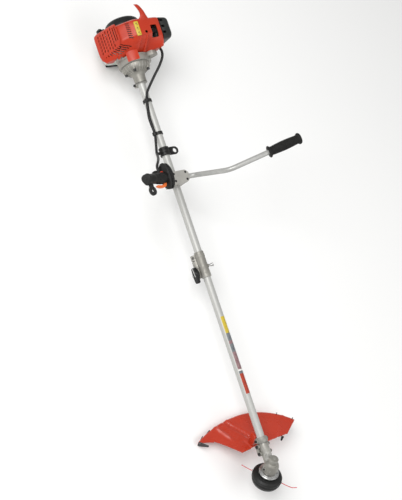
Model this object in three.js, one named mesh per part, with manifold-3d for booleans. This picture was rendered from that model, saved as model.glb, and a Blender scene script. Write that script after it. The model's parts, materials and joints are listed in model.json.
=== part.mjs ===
// Petrol string trimmer with a split shaft and a bicycle handlebar.
// Millimetres, +X from the engine towards the cutting head, +Y to the operator's left, +Z up.
// The whole tool is drawn about its shaft axis (y = 0, z = 0), then lifted so that it rests on z = 0.

import * as THREE from 'three';
import { mergeVertices } from 'three/addons/utils/BufferGeometryUtils.js';
import Module from 'manifold-3d';

const wasm = await Module();
wasm.setup();

// ---------------------------------------------------------------- driving dimensions

const SHAFT_HEIGHT = 150;        // shaft axis above the ground when the tool lies at rest
const MIDDLE_X = -4.24;          // middle of the tool's length, from the shaft's own zero
const MIDDLE_Y = 65.77;          // middle of the tool's width
const GAP = 0.3;                 // clearance between pieces that touch

const TUBE_RADIUS = 14;
const TUBE_BORE = 12.4;
const UPPER_TUBE = [-690, 50];   // start and end along the shaft
const LOWER_TUBE = [51, 754];
const DRIVE_RADIUS = 4;
const COUPLER = [4, 100];

const ENGINE_FRONT = -753;       // front lip of the shroud
const CRANK_RADIUS = 6;
const CYLINDER_X = -812;
const BORE_RADIUS = 18;

const RING_X = -384;             // harness ring
const BAR_X = -270;              // handlebar clamp
const BAR_Z = 32;
const BAR_RADIUS = 9.5;
const STRAP_X = [-584, -455];    // straps that hold the throttle cable

const GEARBOX_X = 800;           // where the shaft axis meets the head's axis
const HEAD_TILT = 55;            // degrees from the shaft down to the head's axis
const HEAD_RADIUS = 54;
const GUARD_RADIUS = 240;
const GUARD_TOP = -6;            // the guard's plate, along the head's axis
const GUARD_SKIRT = 21;
const GUARD_SHEET = 3;
const GUARD_ENDS = [-40, 57];    // degrees about the head, from straight back
const GUARD_FOLD = -9;           // where the right flank starts to drop
const GUARD_CUT = -30;           // where the inner edge starts to run out to the tip
const CUT_SLOPE = 1500;          // millimetres per radian beyond that
const FLANK_DROP = 30;           // millimetres per radian beyond the fold

// ---------------------------------------------------------------- colours

const RED = { color: 0xc8361f, roughness: 0.42, metalness: 0 };
const BLACK = { color: 0x1c1c1b, roughness: 0.55, metalness: 0 };
const RUBBER = { color: 0x222221, roughness: 0.85, metalness: 0 };
const CAST = { color: 0x9d9a92, roughness: 0.5, metalness: 0.7 };
const TUBE = { color: 0xc3c4bd, roughness: 0.35, metalness: 0.85 };
const STEEL = { color: 0xa9aaa8, roughness: 0.3, metalness: 0.95 };
const TANK = { color: 0xdad8cf, roughness: 0.4, metalness: 0 };
const LINE = { color: 0xd2323a, roughness: 0.35, metalness: 0 };
const ORANGE = { color: 0xe0602a, roughness: 0.4, metalness: 0 };
const FOAM = { color: 0x3d3f3c, roughness: 1, metalness: 0 };
const WHITE = { color: 0xe9e6dd, roughness: 0.3, metalness: 0 };

// ---------------------------------------------------------------- helpers

const group = new THREE.Group();
group.position.set(-MIDDLE_X, -MIDDLE_Y, SHAFT_HEIGHT);

function add(name, geometry, finish, parent = group) {
  const mesh = new THREE.Mesh(geometry, new THREE.MeshStandardMaterial(finish));
  mesh.name = name;
  parent.add(mesh);
  return mesh;
}

// Turns a closed geometry into a manifold solid, with shared corners merged and faces outwards.
function solid(geometry) {
  const bare = geometry.clone();
  bare.deleteAttribute('normal');
  bare.deleteAttribute('uv');
  const merged = mergeVertices(bare, 1e-4);
  const corners = merged.attributes.position;
  const index = Array.from(merged.index.array);
  const kept = [];
  let volume = 0;
  const [a, b, c] = [new THREE.Vector3(), new THREE.Vector3(), new THREE.Vector3()];
  for (let i = 0; i < index.length; i += 3) {
    const [p, q, r] = index.slice(i, i + 3);
    if (p === q || q === r || r === p) continue;
    kept.push(p, q, r);
    a.fromBufferAttribute(corners, p);
    b.fromBufferAttribute(corners, q);
    c.fromBufferAttribute(corners, r);
    volume += a.dot(b.cross(c));
  }
  const ordered = volume < 0 ? kept.reverse() : kept;
  const mesh = new wasm.Mesh({
    numProp: 3,
    vertProperties: new Float32Array(corners.array),
    triVerts: new Uint32Array(ordered),
  });
  return new wasm.Manifold(mesh);
}

function geometryOf(body) {
  const mesh = body.getMesh();
  const geometry = new THREE.BufferGeometry();
  geometry.setAttribute('position', new THREE.BufferAttribute(mesh.vertProperties.slice(), 3));
  geometry.setIndex(new THREE.BufferAttribute(mesh.triVerts.slice(), 1));
  geometry.computeVertexNormals();
  return geometry;
}

function join(...geometries) {
  return geometryOf(geometries.map(solid).reduce((whole, next) => whole.add(next)));
}

function cut(geometry, ...tools) {
  return geometryOf(tools.map(solid).reduce((whole, next) => whole.subtract(next), solid(geometry)));
}

function block(x, y, z) {
  const geometry = new THREE.BoxGeometry(x[1] - x[0], y[1] - y[0], z[1] - z[0]);
  return geometry.translate((x[0] + x[1]) / 2, (y[0] + y[1]) / 2, (z[0] + z[1]) / 2);
}

// A cylinder between two points.
function rod(radius, from, to, sides = 16, endRadius = radius) {
  const start = new THREE.Vector3(...from);
  const end = new THREE.Vector3(...to);
  const geometry = new THREE.CylinderGeometry(endRadius, radius, start.distanceTo(end), sides);
  const turn = new THREE.Quaternion();
  turn.setFromUnitVectors(new THREE.Vector3(0, 1, 0), end.clone().sub(start).normalize());
  geometry.applyQuaternion(turn);
  const middle = start.add(end).multiplyScalar(0.5);
  return geometry.translate(middle.x, middle.y, middle.z);
}

// A profile of [x, radius] points turned about the x axis.
function turned(profile, sides = 24) {
  const points = profile.map(([x, radius]) => new THREE.Vector2(radius, x));
  return geometryOf(solid(new THREE.LatheGeometry(points, sides).rotateZ(-Math.PI / 2)));
}

function ring(outer, inner, x, sides = 24) {
  return turned([[x[0], inner], [x[0], outer], [x[1], outer], [x[1], inner], [x[0], inner]], sides);
}

function circle(radius, sides, squash = 1) {
  const points = [];
  for (let i = 0; i < sides; i++) {
    const angle = (i / sides) * Math.PI * 2;
    points.push(new THREE.Vector2(radius * Math.cos(angle), squash * radius * Math.sin(angle)));
  }
  return points;
}

// A round bar that follows a path.
function swept(radius, path, steps, sides = 10) {
  const section = new THREE.Shape(circle(radius, sides));
  const options = { steps, extrudePath: path, bevelEnabled: false };
  return geometryOf(solid(new THREE.ExtrudeGeometry(section, options)));
}

function smoothPath(points) {
  return new THREE.CatmullRomCurve3(points.map((point) => new THREE.Vector3(...point)));
}

// Straight runs between corners, each corner rounded over the given length on both sides.
function bentPath(corners, bend) {
  const places = corners.map((corner) => new THREE.Vector3(...corner));
  const path = new THREE.CurvePath();
  let start = places[0];
  for (let i = 1; i + 1 < places.length; i++) {
    const corner = places[i];
    const before = corner.clone().add(places[i - 1].clone().sub(corner).setLength(bend));
    const after = corner.clone().add(places[i + 1].clone().sub(corner).setLength(bend));
    path.add(new THREE.LineCurve3(start, before));
    path.add(new THREE.QuadraticBezierCurve3(before, corner, after));
    start = after;
  }
  path.add(new THREE.LineCurve3(start, places[places.length - 1]));
  return path;
}

// A solid through a row of outlines. outlineAt gives 2D points, place puts one in space.
function loft(stations, outlineAt, place) {
  const outlines = stations.map(outlineAt);
  const count = outlines[0].length;
  const positions = [];
  outlines.forEach((outline, i) => {
    outline.forEach(([u, v]) => positions.push(...place(stations[i], u, v)));
  });
  const index = [];
  for (let i = 0; i + 1 < stations.length; i++) {
    for (let j = 0; j < count; j++) {
      const [a, b] = [i * count + j, i * count + ((j + 1) % count)];
      index.push(a, b, b + count, a, b + count, a + count);
    }
  }
  const last = (stations.length - 1) * count;
  const flat = (outline) => outline.map(([u, v]) => new THREE.Vector2(u, v));
  const caps = (outline) => THREE.ShapeUtils.triangulateShape(flat(outline), []);
  const clockwise = THREE.ShapeUtils.isClockWise(flat(outlines[0]));
  const startFacing = clockwise ? [0, 1, 2] : [0, 2, 1];
  caps(outlines[0]).forEach((face) => index.push(...startFacing.map((k) => face[k])));
  const endFacing = clockwise ? [0, 2, 1] : [0, 1, 2];
  caps(outlines[outlines.length - 1]).forEach((face) => {
    index.push(...endFacing.map((k) => last + face[k]));
  });
  const geometry = new THREE.BufferGeometry();
  geometry.setAttribute('position', new THREE.Float32BufferAttribute(positions, 3));
  geometry.setIndex(index);
  return geometryOf(solid(geometry));
}

// An outline in the y-z plane, run along x.
function bar(outline, x) {
  return loft(x, () => outline, (station, y, z) => [station, y, z]);
}

// ---------------------------------------------------------------- engine covers

// Cross-section of the shroud at a station along the engine: lower right edge, ridge, crest,
// flat top and left edge, all drawn in by the wall.
function shroudOutline(station, wall) {
  const [ridge, crest, top, left] = station.heights;
  const floor = wall > 0 ? 2 : 12;
  return [
    [-71 + wall, floor],
    [-71 + wall, ridge - wall],
    [-17 + wall * 0.4, crest - wall * 1.2],
    [30, top - wall],
    [84 - wall, left - wall],
    [84 - wall, floor],
  ];
}

function shroudShape(wall) {
  const stations = [
    { x: -862 + wall, heights: [60, 104, 108, 108] },
    { x: -855 + wall, heights: [71, 116, 119, 119] },
    { x: -797 - wall * 0.3, heights: [71, 116, 119, 119] },
    { x: -772 - wall * 0.6, heights: [45, 82, 88, 114] },
    { x: ENGINE_FRONT - wall, heights: [15, 40, 47, 102] },
  ];
  return loft(stations, (s) => shroudOutline(s, wall), (s, y, z) => [s.x, y, z]);
}

function engineShroud() {
  const leftLip = bar([[53, -30], [53, 41], [76, 57], [84, 88], [95, 92], [95, -30]], [-800, -740]);
  const shell = cut(
    shroudShape(0),
    shroudShape(2.6),
    leftLip,
    block([-900, -700], [14, 95], [-30, 36]),
    block([-900, -700], [-80, -14], [-30, 24]),
    block([-900, -790], [-20, 20], [-30, 24]),
    block([-855, -780], [-80, -60], [10, 56]),
    block([-850, -772], [78, 90], [44, 106]),
    block([-829, -786], [46, 73], [105, 130]),
    rod(5.5, [-805, 21, 100], [-805, 21, 130], 12),
  );
  add('engine_shroud', join(shell, shroudHorn()), RED);
}

// The curved spoiler that stands up behind the shroud.
function shroudHorn() {
  const stations = [
    { x: -852, z: 112, y: 22, half: 27, deep: 7 },
    { x: -864, z: 119, y: 23, half: 15, deep: 6 },
    { x: -880, z: 126, y: 18, half: 10.5, deep: 5 },
    { x: -896, z: 131, y: 7, half: 9.5, deep: 4.5 },
    { x: -908, z: 132, y: -5, half: 8, deep: 4 },
  ];
  const outline = ({ half, deep }) => circle(half, 10, deep / half).map((p) => [p.x, p.y]);
  return loft(stations, outline, (s, u, v) => [s.x + v * 0.5, s.y + u, s.z + v]);
}

function mufflerGuardShape(wall) {
  const inner = wall > 0 ? -60 : -71.4;
  const stations = [
    { x: -872 + wall, ridge: 56, out: -110, low: -28 },
    { x: -862 + wall, ridge: 71, out: -117, low: -36 },
    { x: -802 - wall * 0.3, ridge: 71, out: -117, low: -36 },
    { x: -776 - wall * 0.6, ridge: 46, out: -116, low: -34 },
    { x: -757 - wall, ridge: 17, out: -103, low: -26 },
  ];
  const outline = ({ ridge, out, low }) => [
    [inner, low + wall],
    [inner, ridge - wall],
    [-73, ridge - wall],
    [out + wall, low + 7],
    [out + 6 + wall, low + wall],
  ];
  return loft(stations, outline, (s, y, z) => [s.x, y, z]);
}

function muffler() {
  const shell = cut(mufflerGuardShape(0), mufflerGuardShape(2.4));
  add('muffler_guard', shell, RED);
  const profile = [[-46, -22], [-46, 45], [-66, 45], [-97, -14], [-97, -22]];
  const room = [[-48, -20], [-48, 43], [-65, 43], [-94.5, -14.5], [-94.5, -20]];
  const outlet = rod(5, [-805, -80, -8], [-790, -80, -8], 12);
  const can = cut(bar(profile, [-852, -796]), bar(room, [-850, -798]), outlet);
  const port = block([-830, -800], [-47, -34.4], [32, 42]);
  add('muffler', join(can, port), STEEL);
}

// ---------------------------------------------------------------- cylinder and crank

function cylinderAndPiston() {
  const x = [CYLINDER_X - 26, CYLINDER_X + 26];
  const grooves = [];
  for (let z = 38; z < 80; z += 9) {
    grooves.push(block([x[0] - 5, x[1] + 5], [24, 50], [z, z + 5]));
    grooves.push(block([x[0] - 5, x[1] + 5], [-50, -24], [z, z + 5]));
  }
  const barrel = cut(
    block(x, [-33, 33], [30.4, 80]),
    rod(BORE_RADIUS + GAP, [CYLINDER_X, 0, 20], [CYLINDER_X, 0, 76], 18),
    rod(5.4, [CYLINDER_X, 0, 74], [CYLINDER_X, 0, 90], 12),
    ...grooves,
  );
  add('cylinder', barrel, CAST);
  const crown = rod(BORE_RADIUS - GAP, [CYLINDER_X, 0, 47], [CYLINDER_X, 0, 74], 18);
  const skirt = rod(BORE_RADIUS - 4, [CYLINDER_X, 0, 40], [CYLINDER_X, 0, 66], 14);
  add('piston', cut(crown, skirt), STEEL);
  const seat = rod(9, [CYLINDER_X, 0, 80.4], [CYLINDER_X, 0, 90], 6);
  const thread = rod(5, [CYLINDER_X, 0, 77], [CYLINDER_X, 0, 85], 12);
  const porcelain = rod(3.6, [CYLINDER_X, 0, 89], [CYLINDER_X, 0, 97], 12);
  add('spark_plug', join(seat, thread, porcelain), WHITE);
  const elbow = block([CYLINDER_X - 9, CYLINDER_X + 9], [-9, 70], [91, 104]);
  const socket = rod(4.2, [CYLINDER_X, 0, 80], [CYLINDER_X, 0, 98], 12);
  add('plug_boot', cut(elbow, socket), RUBBER);
}

function crankcaseAndCrank() {
  const housing = join(
    block([-842, -762], [-42, 42], [-50, 30]),
    block([-764, -752.9], [-42, 42], [-50, 10]),
  );
  const cavity = rod(24, [CYLINDER_X - 16, 0, 0], [CYLINDER_X + 16, 0, 0], 20);
  const throat = rod(BORE_RADIUS + GAP, [CYLINDER_X, 0, 10], [CYLINDER_X, 0, 40], 18);
  const bearings = rod(CRANK_RADIUS + GAP, [-850, 0, 0], [-740, 0, 0], 14);
  add('crankcase', cut(housing, cavity, throat, bearings), CAST);
  const journal = rod(CRANK_RADIUS, [-868, 0, 0], [-711, 0, 0], 12);
  const webs = rod(19, [CYLINDER_X - 10, 0, 0], [CYLINDER_X + 10, 0, 0], 18);
  add('crankshaft', join(journal, webs), STEEL);
}

function flywheelAndClutch() {
  const disc = ring(48, CRANK_RADIUS + GAP, [-750, -743]);
  const hub = ring(14, CRANK_RADIUS + GAP, [-750, -732]);
  const vanes = [];
  for (let i = 0; i < 8; i++) {
    const vane = block([-744, -733], [24, 50], [-1.5, 1.5]);
    vanes.push(vane.rotateX((i / 8) * Math.PI * 2));
  }
  add('flywheel', join(disc, hub, ...vanes), CAST);
  const shoes = cut(
    ring(32, CRANK_RADIUS + GAP, [-721, -712]),
    block([-725, -710], [12, 40], [-2, 2]),
    block([-725, -710], [-40, -12], [-2, 2]),
  );
  add('clutch_shoes', shoes, STEEL);
  const drum = turned([
    [-722, 34], [-722, 38], [-707, 38], [-707, 11], [-700, 11],
    [-700, DRIVE_RADIUS + GAP], [-709.5, DRIVE_RADIUS + GAP], [-709.5, 34], [-722, 34],
  ]);
  add('clutch_drum', drum, STEEL);
}

function fanHousing() {
  const cup = turned([
    [-752.5, 56], [-752.5, 61], [-749, 62], [-728, 62], [-726, 60], [-726, 30],
    [-730, 30], [-730, 56], [-752.5, 56],
  ], 28);
  add('fan_housing', cup, CAST);
}

function clutchCase() {
  const cone = turned([
    [-725.7, 43], [-725.7, 53], [-716, 52], [-706, 48], [-693, 27], [-688, 23], [-654, 22],
    [-654, TUBE_RADIUS + GAP], [-694, TUBE_RADIUS + GAP], [-699, 16], [-706, 43], [-725.7, 43],
  ], 28);
  const ear = block([-668, -654], [-10, 10], [-40, -15]);
  const slot = block([-672, -640], [-1.2, 1.2], [-50, -10]);
  add('clutch_case', cut(join(cone, cut(ear, rod(18, [-680, 0, 0], [-640, 0, 0], 24))), slot), CAST);
}

// ---------------------------------------------------------------- fuel and air

function fuelSystem() {
  const outline = [
    [-58, -56], [70, -56], [78, -70], [70, -110], [58, -120], [-48, -120], [-58, -110], [-64, -70],
  ];
  const body = bar(outline, [-864, -788]);
  const neck = rod(17, [-795, 34, -92], [-764, 34, -92], 18);
  const mouth = rod(13, [-800, 34, -92], [-750, 34, -92], 18);
  const inside = outline.map(([y, z]) => [y * 0.96, -89 + (z + 89) * 0.9]);
  const shape = cut(join(body, neck), bar(inside, [-861, -791]), mouth);
  add('fuel_tank', shape, TANK);
  const plug = rod(12.4, [-775, 34, -92], [-762, 34, -92], 18);
  add('fuel_cap', join(plug, rod(20, [-763.6, 34, -92], [-749, 34, -92], 18)), BLACK);
}

// Two runners joined by cross bars, which keep the tank off the ground.
function tankStand() {
  const foot = [-SHAFT_HEIGHT, -SHAFT_HEIGHT + 5];
  const pieces = [
    block([-866, -856], [-32, 32], foot),
    rod(3.5, [-796, -26, -SHAFT_HEIGHT + 5], [-796, 26, -SHAFT_HEIGHT + 5], 10),
  ];
  [-26, 26].forEach((y) => {
    pieces.push(block([-866, -794], [y - 6, y + 6], foot));
    pieces.push(rod(3.5, [-800, y, -SHAFT_HEIGHT + 3], [-794, y * 1.2, -121.6], 10));
    pieces.push(rod(3.5, [-860, y, -SHAFT_HEIGHT + 3], [-856, y * 1.2, -121.6], 10));
  });
  add('tank_stand', join(...pieces), BLACK);
}

function airIntake() {
  const throat = rod(9, [-812, 36.5, 64], [-812, 86, 64], 16);
  const carburettor = join(block([-832, -792], [50, 78], [48, 80]), throat);
  const venturi = rod(6, [-812, 30, 64], [-812, 95, 64], 14);
  const bulbPocket = rod(8.6, [-822, 64, 40], [-822, 64, 52.8], 14);
  add('carburettor', cut(carburettor, venturi, bulbPocket), CAST);
  const pivot = rod(3, [-812, 66, 80.3], [-812, 66, 88], 10);
  const arm = block([-815, -786], [62, 70], [84, 88]);
  add('choke_lever', join(pivot, arm), BLACK);
  const bulb = rod(8, [-822, 64, 47.6], [-822, 64, 40], 14, 5);
  add('primer_bulb', bulb, TANK);
  const foam = block([-850, -792], [88, 99], [56, 102]);
  add('filter_element', cut(foam, rod(6, [-812, 80, 64], [-812, 96, 64], 14)), FOAM);
  const outline = ({ grow }) => [
    [-866 - grow, 112 + grow * 0.4], [-862 - grow, 118 + grow],
    [-786 + grow, 118 + grow], [-776 + grow, 110 + grow],
    [-780 + grow, 44 - grow], [-860 - grow, 44 - grow],
  ];
  const box = (from, to, first, second) => loft(
    [{ y: from, grow: first }, { y: to, grow: second }],
    outline,
    (s, x, z) => [x, s.y, z],
  );
  add('air_filter_cover', cut(box(86.4, 127, 0, -5), box(80, 123, -4, -9)), BLACK);
}

// ---------------------------------------------------------------- starter

function starter() {
  const bowl = turned([
    [-868, 62], [-868, 68], [-878, 68], [-896, 63], [-904, 50], [-905, 20], [-905, 0],
    [-901, 0], [-901, 48], [-893, 58], [-880, 62], [-868, 62],
  ], 32);
  const ropeHole = rod(3, [-888, -80, -27], [-888, -30, -27], 10);
  add('recoil_starter_cover', cut(bowl, ropeHole), BLACK);
  const reel = turned([
    [-897, 5], [-897, 30], [-894, 30], [-894, 25], [-884, 25], [-884, 30], [-881, 30],
    [-881, 5], [-897, 5],
  ], 24);
  add('starter_reel', reel, BLACK);
  const pull = join(
    block([-892, -884], [-92, -74], [-39, -15]),
    rod(5, [-888, -92, -27], [-888, -66, -27], 12),
  );
  add('starter_handle', cut(pull, rod(2.3, [-888, -95, -27], [-888, -60, -27], 8)), BLACK);
  add('starter_rope', rod(1.9, [-888, -88, -27], [-888, -6, -27], 8), WHITE);
}

// ---------------------------------------------------------------- shaft

function shaft() {
  add('upper_tube', ring(TUBE_RADIUS, TUBE_BORE, UPPER_TUBE), TUBE);
  add('lower_tube', ring(TUBE_RADIUS, TUBE_BORE, LOWER_TUBE), TUBE);
  const upper = rod(DRIVE_RADIUS, [-708.5, 0, 0], [20, 0, 0], 12);
  const socket = rod(7, [14, 0, 0], [46, 0, 0], 12);
  const hole = rod(DRIVE_RADIUS + GAP, [30, 0, 0], [60, 0, 0], 12);
  add('upper_driveshaft', cut(join(upper, socket), hole), STEEL);
  add('lower_driveshaft', rod(DRIVE_RADIUS, [32, 0, 0], [778, 0, 0], 12), STEEL);
  add('shaft_bush', ring(TUBE_BORE - GAP, DRIVE_RADIUS + GAP, [-330, -306]), RUBBER);
}

function shaftCoupler() {
  const barrel = rod(17.5, [COUPLER[0], 0, 0], [COUPLER[1], 0, 0], 24);
  const cheekOutline = [[0, -17], [0, -4], [-14, -4], [-25, -12], [-25, -26], [-14, -30], [-4, -27]];
  const cheek = bar(cheekOutline, [10, 61]);
  const saddle = block([58, 96], [-22, -8], [-24, -6]);
  const boss = rod(7, [60, 12, 0], [60, 22, 0], 14);
  const through = rod(TUBE_RADIUS + GAP, [0, 0, 0], [110, 0, 0], 28);
  const pinHole = rod(4.3, [60, 8, 0], [60, 30, 0], 12);
  const knobHole = rod(4.3, [78, -8, -15], [78, -30, -15], 12);
  add('coupler', cut(join(barrel, cheek, saddle, boss), through, pinHole, knobHole), CAST);

  const stem = rod(4, [60, 14.6, 0], [60, 32, 0], 12);
  const head = rod(5, [60, 31, 0], [60, 42, 0], 14, 8);
  add('coupler_pin', join(stem, head), STEEL);

  const stud = rod(4, [78, -15, -15], [78, -30, -15], 12);
  const knobCap = rod(16, [78, -23, -15], [78, -38, -15], 18, 14);
  const wing = block([54, 112], [-37, -26], [-25, -5]);
  add('coupler_knob', join(stud, knobCap, wing), BLACK);
}

function harnessRing() {
  const band = ring(19, TUBE_RADIUS + GAP, [RING_X - 16, RING_X + 16]);
  const outline = new THREE.Shape();
  outline.moveTo(14, -15);
  outline.lineTo(44, -15);
  outline.absarc(44, 0, 15, -Math.PI / 2, Math.PI / 2, false);
  outline.lineTo(14, 15);
  outline.closePath();
  const eye = new THREE.Path();
  eye.absarc(44, 0, 8.5, 0, Math.PI * 2, true);
  outline.holes.push(eye);
  const plate = new THREE.ExtrudeGeometry(outline, { depth: 5, bevelEnabled: false, curveSegments: 8 });
  plate.applyMatrix4(new THREE.Matrix4().makeBasis(
    new THREE.Vector3(0, 1, 0), new THREE.Vector3(-1, 0, 0), new THREE.Vector3(0, 0, 1),
  ));
  plate.translate(RING_X, 0, -2.5);
  const lug = block([RING_X - 2, RING_X + 8], [-30, -15], [-4, 5]);
  const bore = rod(TUBE_RADIUS + GAP, [RING_X - 30, 0, 0], [RING_X + 30, 0, 0], 24);
  add('harness_ring', cut(join(band, plate, lug), bore), BLACK);
}

// ---------------------------------------------------------------- handlebar

const LEFT_BEND = [-228, 122, 175];
const LEFT_END = [-262, 373, 298];
const RIGHT_BEND = [-240, -120, 178];
const GRIP_AXIS = new THREE.Vector3(0, -0.95, 0.312).normalize();

function pointAlong(from, to, distance) {
  const start = new THREE.Vector3(...from);
  return new THREE.Vector3(...to).sub(start).setLength(distance).add(start);
}

function handlebar() {
  const rightEnd = GRIP_AXIS.clone().multiplyScalar(128).add(new THREE.Vector3(...RIGHT_BEND));
  const corners = [
    rightEnd.toArray(), RIGHT_BEND, [BAR_X, -64, BAR_Z], [BAR_X, 64, BAR_Z], LEFT_BEND, LEFT_END,
  ];
  add('handlebar', swept(BAR_RADIUS, bentPath(corners, 24), 44, 10), TUBE);
}

function handlebarClamp() {
  const outline = (deep) => new THREE.Shape([
    new THREE.Vector2(-38, -deep), new THREE.Vector2(26, -deep), new THREE.Vector2(38, -deep + 12),
    new THREE.Vector2(38, deep - 12), new THREE.Vector2(26, deep), new THREE.Vector2(-38, deep),
  ]);
  const slab = (low, high) => {
    const plate = new THREE.ExtrudeGeometry(outline(23), { depth: high - low, bevelEnabled: false });
    plate.applyMatrix4(new THREE.Matrix4().makeBasis(
      new THREE.Vector3(0, 1, 0), new THREE.Vector3(-1, 0, 0), new THREE.Vector3(0, 0, 1),
    ));
    return plate.translate(BAR_X, 0, low);
  };
  const barBore = rod(BAR_RADIUS + GAP, [BAR_X, -60, BAR_Z], [BAR_X, 60, BAR_Z], 20);
  const tubeBore = rod(TUBE_RADIUS + GAP, [BAR_X - 60, 0, 0], [BAR_X + 60, 0, 0], 28);
  add('handlebar_cap', cut(slab(BAR_Z + 0.8, 50), barBore), CAST);
  const pinch = block([BAR_X - 40, BAR_X + 40], [-1.2, 1.2], [-30, -10]);
  add('handlebar_base', cut(slab(-21, BAR_Z - 0.8), barBore, tubeBore, pinch), CAST);
}

// Sleeve and end flanges about the left arm of the handlebar.
function leftGrip() {
  const length = 128;
  const grip = turned([
    [0, 10], [0, 21], [3, 22], [7, 21], [9, 16], [60, 17], [114, 16], [117, 20.5], [122, 21],
    [length, 18], [length, 10], [0, 10],
  ], 18);
  const from = pointAlong(LEFT_END, LEFT_BEND, length - 2);
  const along = new THREE.Vector3(...LEFT_END).sub(from).normalize();
  const mesh = add('left_grip', grip, RUBBER);
  mesh.position.copy(from);
  mesh.quaternion.setFromUnitVectors(new THREE.Vector3(1, 0, 0), along);
}

// The throttle is drawn about its own axis: x out along the bar, y towards the fingers.
function throttle() {
  const frame = new THREE.Group();
  const out = GRIP_AXIS.clone();
  const fingers = new THREE.Vector3(1, 0, 0);
  const across = new THREE.Vector3().crossVectors(out, fingers);
  frame.quaternion.setFromRotationMatrix(new THREE.Matrix4().makeBasis(out, fingers, across));
  frame.position.set(...RIGHT_BEND).addScaledVector(out, 30);
  group.add(frame);

  const sections = [
    { x: 0, high: 17, wide: 17 },
    { x: 30, high: 21, wide: 18 },
    { x: 60, high: 18, wide: 17 },
    { x: 90, high: 17, wide: 16 },
    { x: 102, high: 20, wide: 19 },
  ];
  const oval = ({ high, wide }) => circle(high, 20, wide / high).map((p) => [p.x, p.y]);
  const body = loft(sections, oval, (s, u, v) => [s.x, u, v]);
  const flangeOval = ({ high }) => circle(high, 28, 0.5).map((p) => [p.x - 6, p.y]);
  const disc = (from, to, high) => loft(
    [{ x: from, high }, { x: to, high }],
    flangeOval,
    (s, u, v) => [s.x, u, v],
  );
  const eye = ring(16, 6.5, [-4, 4], 20);
  eye.rotateY(Math.PI / 2).translate(86, 42, 0);
  const stem = block([79, 93], [12, 30], [-4, 4]);
  const bendRoom = rod(14, [-30, 0, 0], [-7, 0, 0], 20);
  const bore = rod(BAR_RADIUS + GAP + 0.4, [-20, 0, 0], [130, 0, 0], 20);
  const triggerSlot = block([6, 64], [13, 40], [-5, 5]);
  const lockSlot = block([30, 60], [-40, -13.5], [-5, 5]);
  const switchSlot = block([8, 24], [-40, -13.5], [-4, 4]);
  const solid = join(body, disc(-6, 1, 47), disc(-10, -5, 38), disc(-19, -9, 46), stem, eye);
  const eyeHole = rod(6.5, [86, 42, -9], [86, 42, 9], 20);
  const housing = cut(solid, bore, bendRoom, triggerSlot, lockSlot, switchSlot, eyeHole);
  add('throttle_housing', housing, BLACK, frame);

  const leverOutline = [
    [9, 14.5], [10, 23], [22, 33], [44, 35], [61, 29], [58, 24], [40, 26], [24, 22], [16, 14.5],
  ];
  const lever = loft([{ z: -4.2 }, { z: 4.2 }], () => leverOutline, (s, u, v) => [u, v, s.z]);
  add('throttle_trigger', lever, ORANGE, frame);
  const lockOutline = [[57, -14.5], [57, -23], [48, -27], [32, -23], [32, -19], [50, -14.5]];
  const lock = loft([{ z: -4.2 }, { z: 4.2 }], () => lockOutline, (s, u, v) => [u, v, s.z]);
  add('throttle_lockout', lock, BLACK, frame);
  add('stop_switch', block([9, 17], [-24, -14], [-3.4, 3.4]), RED, frame);
}

// The sheathed cable from the carburettor, strapped to the shaft, up to the throttle.
function throttleCable() {
  const route = [
    [-788, 67, 61], [-774, 75, 63], [-757, 84.6, 65], [-742, 86, 68], [-720, 79, 68], [-694, 62, 60],
    [-664, 38, 44], [-636, 16, 30], [-610, -3, 22], [-584, -10.6, 16.6], [-550, -16.4, 12],
    [-520, -20, 8], [-486, -19.5, 7], [-455, -18.8, 6.4], [-425, -26, 7], [-384, -38, 8],
    [-372, -50, 26], [-350, -78, 70], [-328, -110, 118], [-306, -142, 160], [-287, -161, 177],
    [-261, -164.8, 179.6],
  ];
  add('throttle_cable', swept(4.4, smoothPath(route), 64, 7), RUBBER);
}

function cableStraps() {
  const places = [[-10.6, 16.6], [-18.8, 6.4]];
  ['rear', 'front'].forEach((side, i) => {
    const x = [STRAP_X[i] - 5, STRAP_X[i] + 5];
    const [y, z] = places[i];
    const outer = join(
      rod(TUBE_RADIUS + 2.4, [x[0], 0, 0], [x[1], 0, 0], 24),
      rod(8.6, [x[0], y, z], [x[1], y, z], 14),
    );
    const bores = [
      rod(TUBE_RADIUS + GAP, [x[0] - 5, 0, 0], [x[1] + 5, 0, 0], 24),
      rod(6.4, [x[0] - 5, y, z], [x[1] + 5, y, z], 12),
    ];
    add(`cable_strap_${side}`, cut(outer, ...bores), BLACK);
  });
}

// ---------------------------------------------------------------- gearbox and cutting head

// Drawn about the head's own axis: x down along the axis, y to the left, z forward and up.
const headFrame = new THREE.Group();
headFrame.position.set(GEARBOX_X, 0, 0);
headFrame.rotation.y = THREE.MathUtils.degToRad(HEAD_TILT);
group.add(headFrame);

// The shaft's axis seen from the head frame.
function shaftPoint(distance, y = 0, side = 0) {
  const tilt = THREE.MathUtils.degToRad(HEAD_TILT);
  const along = [Math.cos(tilt), Math.sin(tilt)];
  return [distance * along[0] - side * along[1], y, distance * along[1] + side * along[0]];
}

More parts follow.
